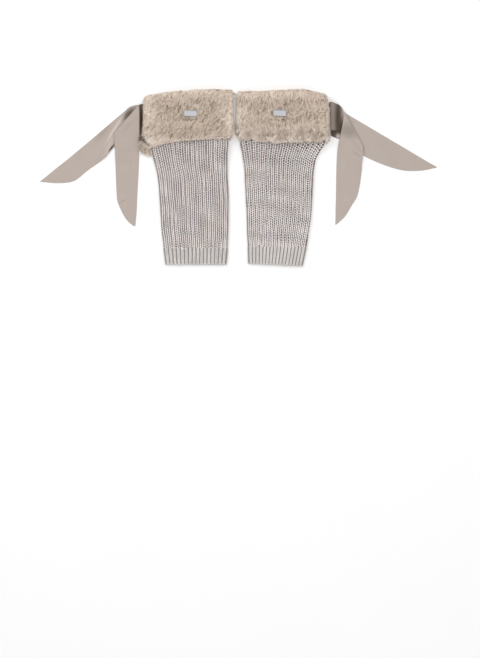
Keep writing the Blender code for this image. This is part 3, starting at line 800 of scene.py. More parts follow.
def tube_points(across, angle, y, left, right, low, out):
    """Points of a flattened tube: straight runs THICKNESS apart between half round sides,
    moved outwards by out."""
    radius = THICKNESS / 2.0
    x = (left + right) / 2.0 + across * ((right - left) / 2.0 - radius)
    x = x + np.cos(angle) * across * (radius + out)
    z = low + radius + np.sin(angle) * (radius + out)
    return np.stack(np.broadcast_arrays(x, y, z), axis=-1)


def settle(angle):
    """How far in the outer points lie on the resting side, so that its ribs touch the table."""
    return -0.5 * RIB_HEIGHT * (1.0 - np.sin(angle)) / 2.0


def leg_points(plan, turn, y, out):
    """Points on the knitted leg, at turn ribs round it, at y along it and out from its mean
    surface. The front is lowered by the leg's creases."""
    across, angle = around(turn, RIBS)
    left, right = knit_edges(plan.knit, y)
    low = knit_lift(y, plan.lift_middle)
    points = tube_points(across, angle, y, left, right, low, out + settle(angle))
    front = np.clip(np.sin(angle), 0.0, 1.0)
    points[..., 2] -= front * crease_depth(KNIT_CREASES[plan.name], points[..., 0], points[..., 1])
    return points


def hem_points(plan, turn, along, out):
    """Points on the hem band, at turn ribs round it and along it from 0 at its free edge to
    1 at its seam."""
    across, angle = around(turn, RIBS)
    first, last = plan.hem.y_left[0], plan.hem.y_left[-1]
    span = (plan.hem.y_left - first) / (last - first)
    found = curve_through(np.stack(plan.hem, axis=1), np.interp(along, span, np.arange(len(span))))
    share = (across + 1.0) / 2.0
    y = found[..., 0] + (found[..., 1] - found[..., 0]) * share
    y = y + (along - np.clip(along, 0.0, 1.0)) * (last - first)
    return tube_points(across, angle, y, found[..., 2], found[..., 3], 0.0, out + settle(angle))


def cuff_hole(plan, across, angle, y):
    """The surface inside the cuff that clears the knit."""
    left = np.interp(y, plan.knit.y, plan.knit.left) - CUFF_CLEARANCE
    right = np.interp(y, plan.knit.y, plan.knit.right) + CUFF_CLEARANCE
    low = knit_lift(y, plan.lift_middle) - CUFF_CLEARANCE
    high = low + 2.0 * CUFF_CLEARANCE + THICKNESS
    radius = (high - low) / 2.0
    x = (left + right) / 2.0 + across * ((right - left) / 2.0 - radius)
    x = x + np.cos(angle) * across * radius
    z = (low + high) / 2.0 + np.sin(angle) * radius
    return np.stack(np.broadcast_arrays(x, y, z), axis=-1)


def cuff_points(plan, along, turn, share):
    """Points of the cuff, from its hole (share 0) to the tips of its pile (share 1). along
    runs from the turned top edge (0) to the free lower edge (1), and turn once round: the
    back from 0 to 1, the right side to 2, the front to 3, the left side to 4. The front is
    crowned, with a dent under the label, and the back is flat on the table."""
    across, angle = around(turn, 1)
    front = (1.0 + np.sin(angle)) / 2.0
    place = (across + 1.0) / 2.0
    spots = np.linspace(0.0, 1.0, len(plan.edges.top))
    top = np.interp(place, spots, plan.edges.top)
    bottom_front = np.interp(place, spots, plan.edges.front_bottom)
    bottom_back = np.interp(place, spots, plan.edges.back_bottom)
    bottom = bottom_back + (bottom_front - bottom_back) * front
    y = top + (bottom - top) * along
    hole = cuff_hole(plan, across, angle, y)
    rows = plan.cuff
    sides = []
    for resting, facing in ((rows.back_left, rows.front_left), (rows.back_right, rows.front_right)):
        back = np.interp(along, rows.along, resting)
        sides.append(back + (np.interp(along, rows.along, facing) - back) * front)
    left, right = sides
    x = (left + right) / 2.0 + across * ((right - left) / 2.0 - CUFF_SIDE_RADIUS)
    x = x + np.cos(angle) * across * CUFF_SIDE_RADIUS
    half = (CUFF_TOP - CUFF_CROWN) / 2.0
    upper = np.clip(np.sin(angle), 0.0, 1.0)
    z = half + np.sin(angle) * half + upper * CUFF_CROWN * np.cos(across * math.pi / 2.0)
    away = (x - plan.label.x) ** 2 + (y - plan.label.y) ** 2
    z = z - upper * LABEL_DENT * np.exp(-away / LABEL_DENT_RADIUS**2)
    rim = np.maximum(hole[..., 2] + CUFF_RIM * np.sin(angle), 0.0)
    fullness = np.sqrt(np.clip(1.0 - np.abs(2.0 * along - 1.0) ** 6, 0.0, 1.0))
    z = rim + (z - rim) * fullness
    outer = np.stack(np.broadcast_arrays(x, y, z), axis=-1)
    return hole + (outer - hole) * np.asarray(share)[..., None]


# Making the pieces


def shell(name, outer, inner, finish, levels, pattern, scale):
    """A cloth wall between outer rings and inner rings, each (rings, columns, 3) with as many
    columns, listed from the top of the leg down, joined at both ends. Its pattern runs with
    its points, times the scale."""
    columns = outer.shape[1]
    inner_start = outer.shape[0] * columns
    last_outer = inner_start - columns
    last_inner = inner_start + (inner.shape[0] - 1) * columns
    col = np.arange(columns)
    near = (col + 1) % columns
    first_ring = np.stack([near, col, inner_start + col, inner_start + near], axis=1)
    last_ring = [last_outer + col, last_outer + near, last_inner + near, last_inner + col]
    quads = [
        grid_quads(outer.shape[0], columns, True),
        grid_quads(inner.shape[0], columns, True, inner_start, True),
        first_ring,
        np.stack(last_ring, axis=1),
    ]
    points = np.concatenate([outer.reshape(-1, 3), inner.reshape(-1, 3)])
    values = {**levels, pattern: points * scale}
    return make_piece(name, points, np.concatenate(quads), [], finish, values)


def grains(surface, turn, along, lift, half_width, half_depth, sides, tone):
    """Closed grains of yarn. turn, along and lift, each (grains, stations), give the middle
    line of each grain on the surface; half_width and half_depth, for each inner station, are
    the half axes of the oval round it. The first and last stations are its two points."""
    middle = surface(turn, along, lift)
    tangent = unit(np.gradient(middle, axis=1))
    outward = surface(turn, along, lift + OUTWARD_STEP) - middle
    outward = unit(outward - tangent * (outward * tangent).sum(-1, keepdims=True))
    across = np.cross(outward, tangent)
    count, stations = turn.shape
    theta = np.arange(sides) * 2.0 * math.pi / sides - math.pi / 2.0
    inner = slice(1, stations - 1)
    wide = np.broadcast_to(half_width, (count, stations))[:, inner, None, None]
    deep = np.broadcast_to(half_depth, (count, stations))[:, inner, None, None]
    rings = (
        middle[:, inner, None]
        + across[:, inner, None] * wide * np.cos(theta)[:, None]
        + outward[:, inner, None] * deep * np.sin(theta)[:, None]
    )
    ring_points = (stations - 2) * sides
    rings = rings.reshape(count, ring_points, 3)
    points = np.concatenate([rings, middle[:, :1], middle[:, -1:]], axis=1)
    ring_height = (lift[:, inner, None] + deep[..., 0] * np.sin(theta)).reshape(count, -1)
    height = np.concatenate([ring_height, lift[:, :1], lift[:, -1:]], axis=1)
    step = np.linspace(0.0, 1.0, stations)
    yarn_along = np.concatenate([np.repeat(step[inner], sides), [0.0, 1.0]])
    yarn_round = np.concatenate([np.tile(np.arange(sides) / sides, stations - 2), [0.0, 0.0]])
    yarn = np.stack([yarn_along * 1.5, yarn_round, yarn_along * 0.0], axis=1)
    quads = grid_quads(stations - 2, sides, True)
    col = np.arange(sides)
    near = (col + 1) % sides
    last = (stations - 3) * sides
    first_point = np.full(sides, ring_points)
    first_end = np.stack([near, col, first_point], axis=1)
    last_end = np.stack([last + col, last + near, first_point + 1], axis=1)
    triangles = np.concatenate([first_end, last_end])
    each = np.arange(count)[:, None, None] * (ring_points + 2)
    return {
        "points": points.reshape(-1, 3),
        "quads": (quads[None] + each).reshape(-1, 4),
        "triangles": (triangles[None] + each).reshape(-1, 3),
        "height": height.ravel(),
        "yarn": np.tile(yarn, (count, 1)),
        "tone": np.repeat(tone, ring_points + 2),
    }


def joined(groups):
    """Several groups of grains as one, with their point numbers moved on."""
    found = {key: [] for key in groups[0]}
    start = 0
    for group in groups:
        for key, value in group.items():
            found[key].append(value + start if key in ("quads", "triangles") else value)
        start += len(group["points"])
    return {key: np.concatenate(value) for key, value in found.items()}


def stitches(surface, stitch, first_rib, rows, unit_row, fine, seed, uneven):
    """Every stitch of one side's ribs and so many rows: two grains that lean apart from the
    stitch's foot near the rib's middle to its head, each lying on the next row's feet, and
    the grains that cross beside and between them. unit_row is what one row adds to along."""
    sides, stations, cross_stations = (5, 6, 5) if fine else (4, 5, 3)
    rng = np.random.default_rng(seed)
    ribs = RIBS + 1
    rib, row = np.meshgrid(first_rib + np.arange(ribs), np.arange(rows), indexing="ij")
    rib, row = rib.ravel()[:, None], row.ravel()[:, None]
    count = len(rib)
    x, y = rib * RIB_PITCH, row * ROW_PITCH
    slack = uneven * (waver(x, y, 46.0, seed + 1) + 0.5 * waver(x, y, 13.0, seed + 3))
    sway = 0.30 * uneven * waver(x, y, 70.0, seed + 2)
    late = row + 0.25 * waver(x, y, 37.0, seed + 4) + rng.normal(0.0, 0.16, ribs)[rib - first_rib]
    step = np.linspace(0.0, 1.0, stations)[None]
    body = np.sin(math.pi * np.clip(step, 0.04, 0.96)) ** 0.5
    arch = np.sin(math.pi * step)
    groups = []
    for lean in (-1.0, 1.0):
        foot = stitch.foot * (1.0 + slack) + rng.normal(0.0, 0.006, (count, 1))
        head = stitch.head * (1.0 + 0.3 * slack) + rng.normal(0.0, 0.008, (count, 1))
        over = foot + (head - foot) * smoothstep(step * 0.9 + 0.05)
        turn = rib + 0.5 + sway + lean * over
        along = (late + stitch.reach * step + rng.normal(0.0, 0.04, (count, 1))) * unit_row
        lift = stitch.crest - stitch.half_depth - GRAIN_DIVE * (1.0 - arch) - stitch.fall * over**2
        wide = stitch.half_width * (0.35 + 0.65 * body) * (1.0 + rng.normal(0.0, 0.05, (count, 1)))
        deep = stitch.half_depth * (0.30 + 0.70 * body)
        tone = np.clip(0.55 + 0.25 * rng.normal(size=count), 0.0, 1.0)
        groups.append(grains(surface, turn, along, lift, wide, deep, sides, tone))
    step = np.linspace(-1.0, 1.0, cross_stations)[None]
    body = 0.5 + 0.5 * (1.0 - step**2)
    for cross in stitch.crossings:
        turn = rib + cross.place + sway + cross.reach * step
        along = (late + cross.row + 0.10 * step**2 + rng.normal(0.0, 0.05, (count, 1))) * unit_row
        lift = cross.lift + 0.2 * (1.0 - step**2) + rng.normal(0.0, 0.08, (count, 1))
        wide = cross.half_width * body * (1.0 - 0.8 * slack)
        tone = np.clip(0.40 + 0.25 * rng.normal(size=count), 0.0, 1.0)
        groups.append(grains(surface, turn, along, lift, wide, CROSS_DEPTH * body, 4, tone))
    return joined(groups)


def stitch_piece(name, groups, finish):
    """All the grains of a tube as one piece, with painted shade: paler the higher they stand, over
    2 mm.
    """
    made = joined(groups)
    depth = np.clip((made["height"] + 1.5) / 2.0, 0.0, 1.0)
    values = {"depth": depth, "yarn": made["yarn"], "tone": made["tone"]}
    return make_piece(name, made["points"], made["quads"], made["triangles"], finish, values)


def ribbed_shell(name, surface, outer_rows, inner_rows, groove, level, finish):
    """A knitted wall under its stitches, on a surface(turn, along, out). Its outer points lie
    in the grooves and rise along the middle of each rib by a squared sine, and its inner
    points are even. Its colour is painted shade for the gaps between the stitches: the dark end
    of the yarn's colour, less dark along each rib."""
    columns = np.arange(ROUND * SHELL_POINTS) / SHELL_POINTS
    rib = np.sin(math.pi * columns) ** 2
    under = np.tile(groove + 0.30 * rib, (len(outer_rows), 1))
    outer = surface(columns[None], outer_rows[:, None], under)
    inside = np.tile(-KNIT_WALL - settle(around(columns, RIBS)[1]), (len(inner_rows), 1))
    inner = surface(columns[None], inner_rows[:, None], inside)
    depth = np.tile(level + 0.08 * rib, len(outer_rows) + len(inner_rows))
    levels = {"depth": depth, "tone": np.full(len(depth), 0.5)}
    return shell(name, outer, inner, finish, levels, "yarn", 0.4)


def two_faces(surface, stitch, rows, unit_row, seed, uneven):
    """The stitches of a tube: its resting side's, coarse, and its front's, fine."""
    return [
        stitches(surface, stitch, 0, rows, unit_row, False, seed, uneven[0]),
        stitches(surface, stitch, RIBS + 1, rows, unit_row, True, seed + 5, uneven[1]),
    ]


def knit_leg(plan, finish):
    """The knitted tube: a shell of two layers, with the stitches of its front and back."""
    start, end = plan.knit.y[0], plan.knit.y[-1]
    outer, inner = np.linspace(end, start, 64), np.linspace(end, start, 24)
    name = f"knit_tube_{plan.name}"
    tube = ribbed_shell(name, partial(leg_points, plan), outer, inner, -1.35, 0.02, finish)
    rows = int((STITCH_TOP - start) / ROW_PITCH)

    def surface(turn, along, lift):
        return leg_points(plan, turn, start - 0.4 * ROW_PITCH + along, lift)

    groups = two_faces(surface, LEG_STITCH, rows, ROW_PITCH, plan.seed, (0.16, 0.26))
    return tube, stitch_piece(f"knit_stitches_{plan.name}", groups, finish)


def hem_band(plan, finish):
    """The ribbed band: a shell with close stitches, and a cast-off row along its free edge."""
    along = np.linspace(1.0, 0.0, 14)
    surface = partial(hem_points, plan)
    name = f"hem_cloth_{plan.name}"
    band = ribbed_shell(name, surface, along, along, -1.1, 0.20, finish)
    unit_row = 1.0 / HEM_ROWS
    groups = two_faces(surface, HEM_STITCH, HEM_ROWS, unit_row, plan.seed + 10, (0.14, 0.24))
    edge = np.arange(ROUND * 2)[:, None] / 2.0
    step = np.linspace(0.0, 1.0, 6)[None]
    turn = edge + 0.75 * step - 0.1
    body = np.sin(math.pi * np.clip(step, 0.08, 0.92)) ** 0.5 * np.ones((len(edge), 1))
    cast_along = (0.25 + 0.35 * np.sin(math.pi * step)) * unit_row * np.ones((len(edge), 1))
    lift = -1.05 + 0.35 * np.sin(math.pi * step) * np.ones((len(edge), 1))
    tone = np.full(len(edge), 0.6)
    groups.append(grains(surface, turn, cast_along, lift, 1.15 * body, 1.0 * body, 5, tone))
    return band, stitch_piece(f"hem_stitches_{plan.name}", groups, finish)


def even_places(plan, count, seed):
    """Places (along, turn) spread evenly over the cuff, thinner on its resting back. A
    golden-ratio sequence fills the unit square, and the cuff's area, summed over a grid,
    turns it into places."""
    along_edges = np.linspace(0.0, 1.0, 61)
    turn_edges = np.linspace(0.0, 4.0, 121)
    corner = cuff_points(plan, along_edges[:, None], turn_edges[None], 1.0)
    one = corner[1:, :-1] - corner[:-1, :-1]
    two = corner[:-1, 1:] - corner[:-1, :-1]
    area = np.linalg.norm(np.cross(one, two), axis=-1)
    middle = (turn_edges[1:] + turn_edges[:-1]) / 2.0
    back = np.sin(around(middle, 1)[1]) < BACK_FACING
    area = area * np.where(back, BACK_DENSITY, 1.0)[None]
    rng = np.random.default_rng(seed)
    number = np.arange(count) + 0.5
    u = np.mod(0.5 + number * EVEN_STEPS[0], 1.0)
    v = np.mod(0.5 + number * EVEN_STEPS[1], 1.0)
    rows = np.concatenate([[0.0], np.cumsum(area.sum(1))])
    along = np.interp(u, rows / rows[-1], along_edges)
    cell = np.clip(np.searchsorted(along_edges, along) - 1, 0, len(area) - 1)
    within = np.concatenate([np.zeros((len(area), 1)), np.cumsum(area, axis=1)], axis=1)
    within = (within / within[:, -1:])[cell]
    spot = np.clip((within < v[:, None]).sum(1) - 1, 0, len(turn_edges) - 2)
    low = np.take_along_axis(within, spot[:, None], 1)[:, 0]
    high = np.take_along_axis(within, spot[:, None] + 1, 1)[:, 0]
    step = turn_edges[1] - turn_edges[0]
    turn = turn_edges[spot] + (v - low) / np.maximum(high - low, 1e-9) * step
    along = np.clip(along + rng.normal(0.0, 0.006, count), 0.002, 0.998)
    turn = np.mod(turn + rng.normal(0.0, 0.004, count), 4.0)
    return along, turn


def in_cuff(plan, points):
    """Places on the cuff counted from its middle, -1 to 1 across and -1 to 1 up."""
    x = (points[..., 0] - plan.label.x) / CUFF_HALF_WIDTH
    y = (points[..., 1] - plan.label.y + 3.0) / CUFF_HALF_HEIGHT
    return x, y


def off_label(plan, points):
    """How far points lie outside the label's outline, and inside it below 0."""
    x = np.abs(points[:, 0] - plan.label.x) - LABEL_WIDTH / 2.0
    return np.maximum(x, np.abs(points[:, 1] - plan.label.y) - LABEL_HEIGHT / 2.0)


def strands(plan, x, y):
    """Places along and across the strands of the pile, in millimetres, and how curly it is
    there (0 to 1). The strands run the way the cuff is combed, and slow wavers bend them, the
    more the curlier the pile is."""
    _, up = in_cuff(plan, np.stack([x, y], axis=-1))
    curl = plan.curl[0] + (plan.curl[1] - plan.curl[0]) * smoothstep((0.3 - up) / 0.6)
    comb_x, comb_y = plan.comb
    bend = 7.0 * waver(x, y, 110.0, plan.seed + 32)
    curls = 4.5 * waver(x, y, 36.0, plan.seed + 30) + 1.3 * waver(x, y, 14.0, plan.seed + 31)
    bend = bend + curl * curls
    return x * comb_x + y * comb_y, y * comb_x - x * comb_y + bend, curl


def lean_of_pile(plan, turn, points):
    """The way the pile is combed, along the level lines of the place across its strands, as
    an angle from straight down the leg."""
    x, y = points[..., 0], points[..., 1]
    small = 0.5
    here = strands(plan, x, y)[1]
    slope_x = (strands(plan, x + small, y)[1] - here) / small
    slope_y = (strands(plan, x, y + small)[1] - here) / small
    facing = np.sin(around(turn, 1)[1])
    return np.arctan2(-slope_y * facing, slope_x)


def lying(plan, along, turn):
    """The pile's surface at the places given, with its unit directions down the leg, round
    the cuff and outwards."""
    small = 0.004
    here = cuff_points(plan, along, turn, 1.0)
    above = cuff_points(plan, along - small, turn, 1.0)
    down = unit(cuff_points(plan, along + small, turn, 1.0) - above)
    beside = unit(cuff_points(plan, along, turn + small, 1.0) - here)
    outward = unit(np.cross(beside, down))
    beside = np.cross(down, outward)
    return here, down, beside, outward


def lock_tones(plan, rng, clumps, clump, curl, body, surface, pressed_and_painted_shade):
    """How light each lock is, and how much painted light lifts its root: even for a clump and
    uneven for a lock, a few of each darker, a painted highlight towards the cuff's outline, painted
    shade between the strands where the pile is curly, and painted shade where it is pressed into a
    crease."""
    x, y = in_cuff(plan, surface)
    count = len(clump)
    # Painted highlight: paler towards the cuff's outline, weighted for each side
    reaches = (-0.94 * x, 0.94 * x, y, -0.9 * y)
    pale = [w * smoothstep((reach - 0.5) / 0.5) for w, reach in zip(plan.pale, reaches)]
    pale = np.clip(np.max(pale, axis=0), 0.0, 1.6) * (1.0 - np.clip(1.6 * pressed_and_painted_shade, 0.0, 1.0))
    tone = (0.50 + 0.20 * rng.normal(size=clumps))[clump] + 0.16 * curl
    tone = tone + 0.12 * rng.normal(size=count) + 0.40 * pale
    tone = tone - 0.42 * (rng.uniform(size=clumps) < 0.10)[clump]
    tone = tone - 0.45 * (rng.uniform(size=count) < 0.08)
    # Painted shade: darker between the strands where the pile is curly, and darker in the creases
    tone = tone - 0.40 * curl * (1.0 - body) - 0.85 * pressed_and_painted_shade
    tone = np.clip(tone, PAINTED_CREASE_SHADE_TONE, 1.0) - PAINTED_CREASE_SHADE_TONE * np.clip(1.4 * pressed_and_painted_shade - 0.4, 0.0, 1.0)
    return tone, pale


def zone(value, start, width):
    """0 before a zone's start and 1 in it, smoothly over the width."""
    return smoothstep((value - start) / width)


def strand_of_locks(rng, run, over, height, curl):
    """The strand that each lock joins: strands start at random locks, fewer where the pile is
    curly, and each lock joins the nearest, with lengths along the strands counted short."""
    count = len(run)
    share = 1.0 - FEWER_WHERE_CURLY * curl
    clumps = max(count // LOCKS_IN_CLUMP, 1)
    chosen = rng.choice(count, clumps, replace=False, p=share / share.sum())
    spread = np.stack([run / STRAND_STRETCH, over, height], axis=1)
    return chosen, nearest(spread, spread[chosen])


def rise_of_locks(plan, rng, surface, front, to_label, curl, body, pressed_and_painted_shade):
    """How far each tip stands over the pile's surface: unevenly, more along the middle of a
    strand, round the label, along the cuff's outline and where the cuff is swollen, and less
    where it is pressed and where it faces the other cuff."""
    count = len(surface)
    rise = rng.uniform(-1.0, 0.3, count) + (0.4 + 1.3 * curl) * body
    round_label = 2.2 * np.exp(-(((to_label - 1.5) / 1.6) ** 2)) - 1.5 * (to_label < -0.5)
    rise = rise + front * round_label
    x, y = in_cuff(plan, surface)
    outline = zone(np.maximum(np.abs(x), np.abs(y)), *OUTLINE_ZONE)
    towards_pair = zone(-plan.side * x, *PAIR_ZONE)
    fuzz = outline * FUZZ * np.abs(rng.normal(size=count)) * (1.0 - towards_pair)
    swollen = crease_depth(FUR_SWELLS[plan.name], surface[:, 0], surface[:, 1])
    return rise + fuzz - plan.trim * towards_pair - 0.6 * pressed_and_painted_shade + swollen


def fur_locks(plan, along, turn, seed):
    """Roots, middles and tips of the locks whose roots are at the places given, with their
    tones, the painted light on their roots, and widths. Each lock leaves the backing, then lies
    down the way the pile is combed, and draws in to the middle of its strand. Round a side of the
    cuff its tip drops by length squared over twice the radius, beside the label it is short,
    under it it stays below, and along the front's lower edge it lies out over the knit."""
    rng = np.random.default_rng(seed)
    count = len(along)
    root = cuff_points(plan, along, turn, ROOT_SHARE + rng.uniform(-0.04, 0.04, count))
    surface, down, beside, outward = lying(plan, along, turn)
    lean = lean_of_pile(plan, turn, surface)
    run, over, curl = strands(plan, surface[:, 0], surface[:, 1])
    chosen, clump = strand_of_locks(rng, run, over, surface[:, 2], curl)
    clumps = len(chosen)
    off_middle = over[chosen][clump] - over

    # The way and the length of each lock
    clump_lean = rng.normal(0.0, CLUMP_LEAN, clumps)
    clump_length = LOCK_LENGTH + LOCK_LENGTH_WHERE_CURLY * curl[chosen]
    clump_length = clump_length * rng.uniform(0.75, 1.25, clumps)
    own_lean = (lean + clump_lean[clump] + rng.normal(0.0, LOCK_LEAN, count))[:, None]
    length = (clump_length[clump] * rng.uniform(0.7, 1.2, count))[:, None]
    way = down * np.cos(own_lean) + beside * np.sin(own_lean)
    to_label = off_label(plan, surface)
    front = np.clip(outward[:, 2], 0.0, 1.0)
    facing = np.sin(around(turn, 1)[1])
    length = length * (1.0 - 0.5 * front * (np.abs(to_label) < 3.0))[:, None]
    body = np.exp(-((off_middle / (0.8 + 0.9 * curl)) ** 2))
    pressed_and_painted_shade = crease_depth(FUR_CREASES_AND_PAINTED_SHADES[plan.name], surface[:, 0], surface[:, 1])
    rise = rise_of_locks(plan, rng, surface, front, to_label, curl, body, pressed_and_painted_shade)[:, None]
    edge = (zone(along, *LOWER_EDGE_ZONE) * (facing > 0.4))[:, None]
    way = unit(way * (1.0 - edge * np.array([0.0, 0.0, LOWER_EDGE_FLATNESS])))
    length = length * (1.0 - LOWER_EDGE_SHORTER * edge)

    # Tips and middles
    tip = surface + way * length + outward * rise
    sides = np.sqrt(np.clip(1.0 - outward[:, 2:3] ** 2, 0.0, 1.0))
    round_side = (length * np.sin(own_lean)) ** 2 / (2.0 * CUFF_SIDE_RADIUS)
    tip = tip - outward * sides * round_side
    pull = (facing * rng.uniform(0.35, 0.85, count) * np.clip(off_middle, -3.0, 3.0))[:, None]
    tip = tip + np.cross(outward, way) * pull
    middle = surface + way * length * 0.25 + outward * (0.7 * rise + 0.2)
    for points, clear in ((middle, MIDDLE_OVER_KNIT), (tip, TIP_OVER_KNIT)):
        over_knit = knit_lift(points[:, 1], plan.lift_middle) + THICKNESS + clear
        over_knit = over_knit + rng.uniform(0.0, 0.8, count)
        over_knit = np.maximum(points[:, 2], over_knit)
        points[:, 2] = np.where(edge[:, 0] > 0.0, over_knit, points[:, 2])
    label_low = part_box(f"label_{plan.name}")[0].z / MM
    under = (off_label(plan, tip) < -1.2) & (facing > 0.5)
    tip[:, 2] = np.where(under, np.minimum(tip[:, 2], label_low - 0.2), tip[:, 2])
    tone, pale = lock_tones(plan, rng, clumps, clump, curl, body, surface, pressed_and_painted_shade)
    return root, middle, tip, tone, pale, rng.uniform(*LOCK_HALF_WIDTHS, count)


def nearest(points, others):
    """For each point the number of the nearest of the others, in blocks of points."""
    found = [
        ((block[:, None, :] - others[None]) ** 2).sum(-1).argmin(1)
        for block in np.array_split(points, max(len(points) // 1000, 1))
    ]
    return np.concatenate(found)


def lock_mesh(name, root, middle, tip, tone, pale, width, finish):
    """Locks as closed three-sided tapering horns along the curve from root past middle to
    tip: (1-s)^2 root + 2s(1-s) middle + s^2 tip."""
    steps = np.array([0.0, 0.55])
    taper = np.array([1.0, 0.85])
    s = steps[None, :, None]
    line = (1 - s) ** 2 * root[:, None] + 2 * s * (1 - s) * middle[:, None] + s**2 * tip[:, None]
    tangent = unit((1 - s) * (middle - root)[:, None] + s * (tip - middle)[:, None])
    up = np.array([0.0, 0.0, 1.0]) + 0.3 * unit(root - root.mean(0))[:, None]
    across = unit(np.cross(up, tangent))
    outward = np.cross(tangent, across)
    theta = np.arange(3) * 2.0 * math.pi / 3.0 + math.pi / 6.0
    radius = (width[:, None] * taper)[..., None, None]
    oval = across[:, :, None] * np.cos(theta)[:, None]
    oval = oval + outward[:, :, None] * 0.7 * np.sin(theta)[:, None]
    rings = line[:, :, None] + radius * oval
    count, each_has = len(root), 7
    points = np.concatenate([rings.reshape(count, 6, 3), tip[:, None]], axis=1)
    points[..., 2] = np.maximum(points[..., 2], TABLE_CLEAR)
    quads = grid_quads(2, 3, True)
    triangles = np.array([[3, 4, 6], [4, 5, 6], [5, 3, 6], [2, 1, 0]])
    each = np.arange(count)[:, None, None] * each_has
    reach = np.concatenate([np.repeat(steps, 3), [1.0]])
    hair = np.zeros((count, each_has, 3))
    hair[..., 0] = reach * 3.0 + np.arange(count)[:, None] * 1.7
    hair[..., 1] = np.concatenate([np.tile(np.arange(3) / 3.0, 2), [0.5]])
    values = {
        # Painted highlight: the painted light at the cuff's outline lifts a lock's colour towards
        # that of its tip
        "tip": np.clip(reach + 0.45 * pale[:, None], 0.0, 1.0).ravel(),
        "tone": np.repeat(tone, each_has),
        "hair": hair.reshape(-1, 3),
    }
    quads = (quads[None] + each).reshape(-1, 4)
    triangles = (triangles[None] + each).reshape(-1, 3)
    return make_piece(name, points.reshape(-1, 3), quads, triangles, finish, values)


def fur_cuff(plan, finish):
    """The cuff: its backing round the knit, and the pile of its front and its back."""
    columns = np.linspace(0.0, 4.0, 97)[:-1]
    along = np.linspace(0.0, 1.0, 40)[:, None]
    outer = cuff_points(plan, along, columns[None], ROOT_SHARE + 0.02)
    inner = cuff_points(plan, along[::3], columns[None], 0.0)
    level = np.full(outer.size // 3 + inner.size // 3, 0.4)
    levels = {"tip": level, "tone": level}
    backing = shell(f"fur_backing_{plan.name}", outer, inner, finish, levels, "hair", 0.5)
    along, turn = even_places(plan, LOCKS, plan.seed + 40)
    locks = fur_locks(plan, along, turn, plan.seed + 41)
    front = np.sin(around(turn, 1)[1]) > BACK_FACING
    piles = []
    for side, chosen in (("front", front), ("back", ~front)):
        part = [value[chosen] for value in locks]
        piles.append(lock_mesh(f"fur_pile_{side}_{plan.name}", *part, finish))
    return backing, piles


def fold_rows(fold, side):
    """Rows round the turned-over edge of a ribbon, a half circle about the fold's line."""
    length = math.hypot(fold.bx - fold.ax, fold.by - fold.ay)
    out_x = -(fold.by - fold.ay) / length * side
    out_y = (fold.bx - fold.ax) / length * side
    rows = []
    for step in range(FOLD_STATIONS):
        turn = -math.pi / 2 + math.pi * step / (FOLD_STATIONS - 1)
        dx, dy = out_x * FOLD_RADIUS * math.cos(turn), out_y * FOLD_RADIUS * math.cos(turn)
        z = fold.z + FOLD_RADIUS * math.sin(turn)
        rows.append((fold.ax + dx, fold.ay + dy, z, fold.bx + dx, fold.by + dy, z, 0.0))
    return table(RIBBON_COLUMNS, *rows)


def two_layers(name, upper, lower, finish, values):
    """A closed thin sheet between an upper and a lower grid of points, joined round the rim."""
    rows, columns = upper.shape[:2]
    below = rows * columns
    index = np.arange(below).reshape(rows, columns)
    rim = np.concatenate([index[0, :-1], index[:-1, -1], index[-1, :0:-1], index[:0:-1, 0]])
    after = np.roll(rim, -1)
    top = grid_quads(rows, columns, False, 0, True)
    bottom = grid_quads(rows, columns, False, below)
    wall = np.stack([rim, after, below + after, below + rim], axis=1)
    points = np.concatenate([upper.reshape(-1, 3), lower.reshape(-1, 3)])
    return make_piece(name, points, np.concatenate([top, bottom, wall]), [], finish, values)


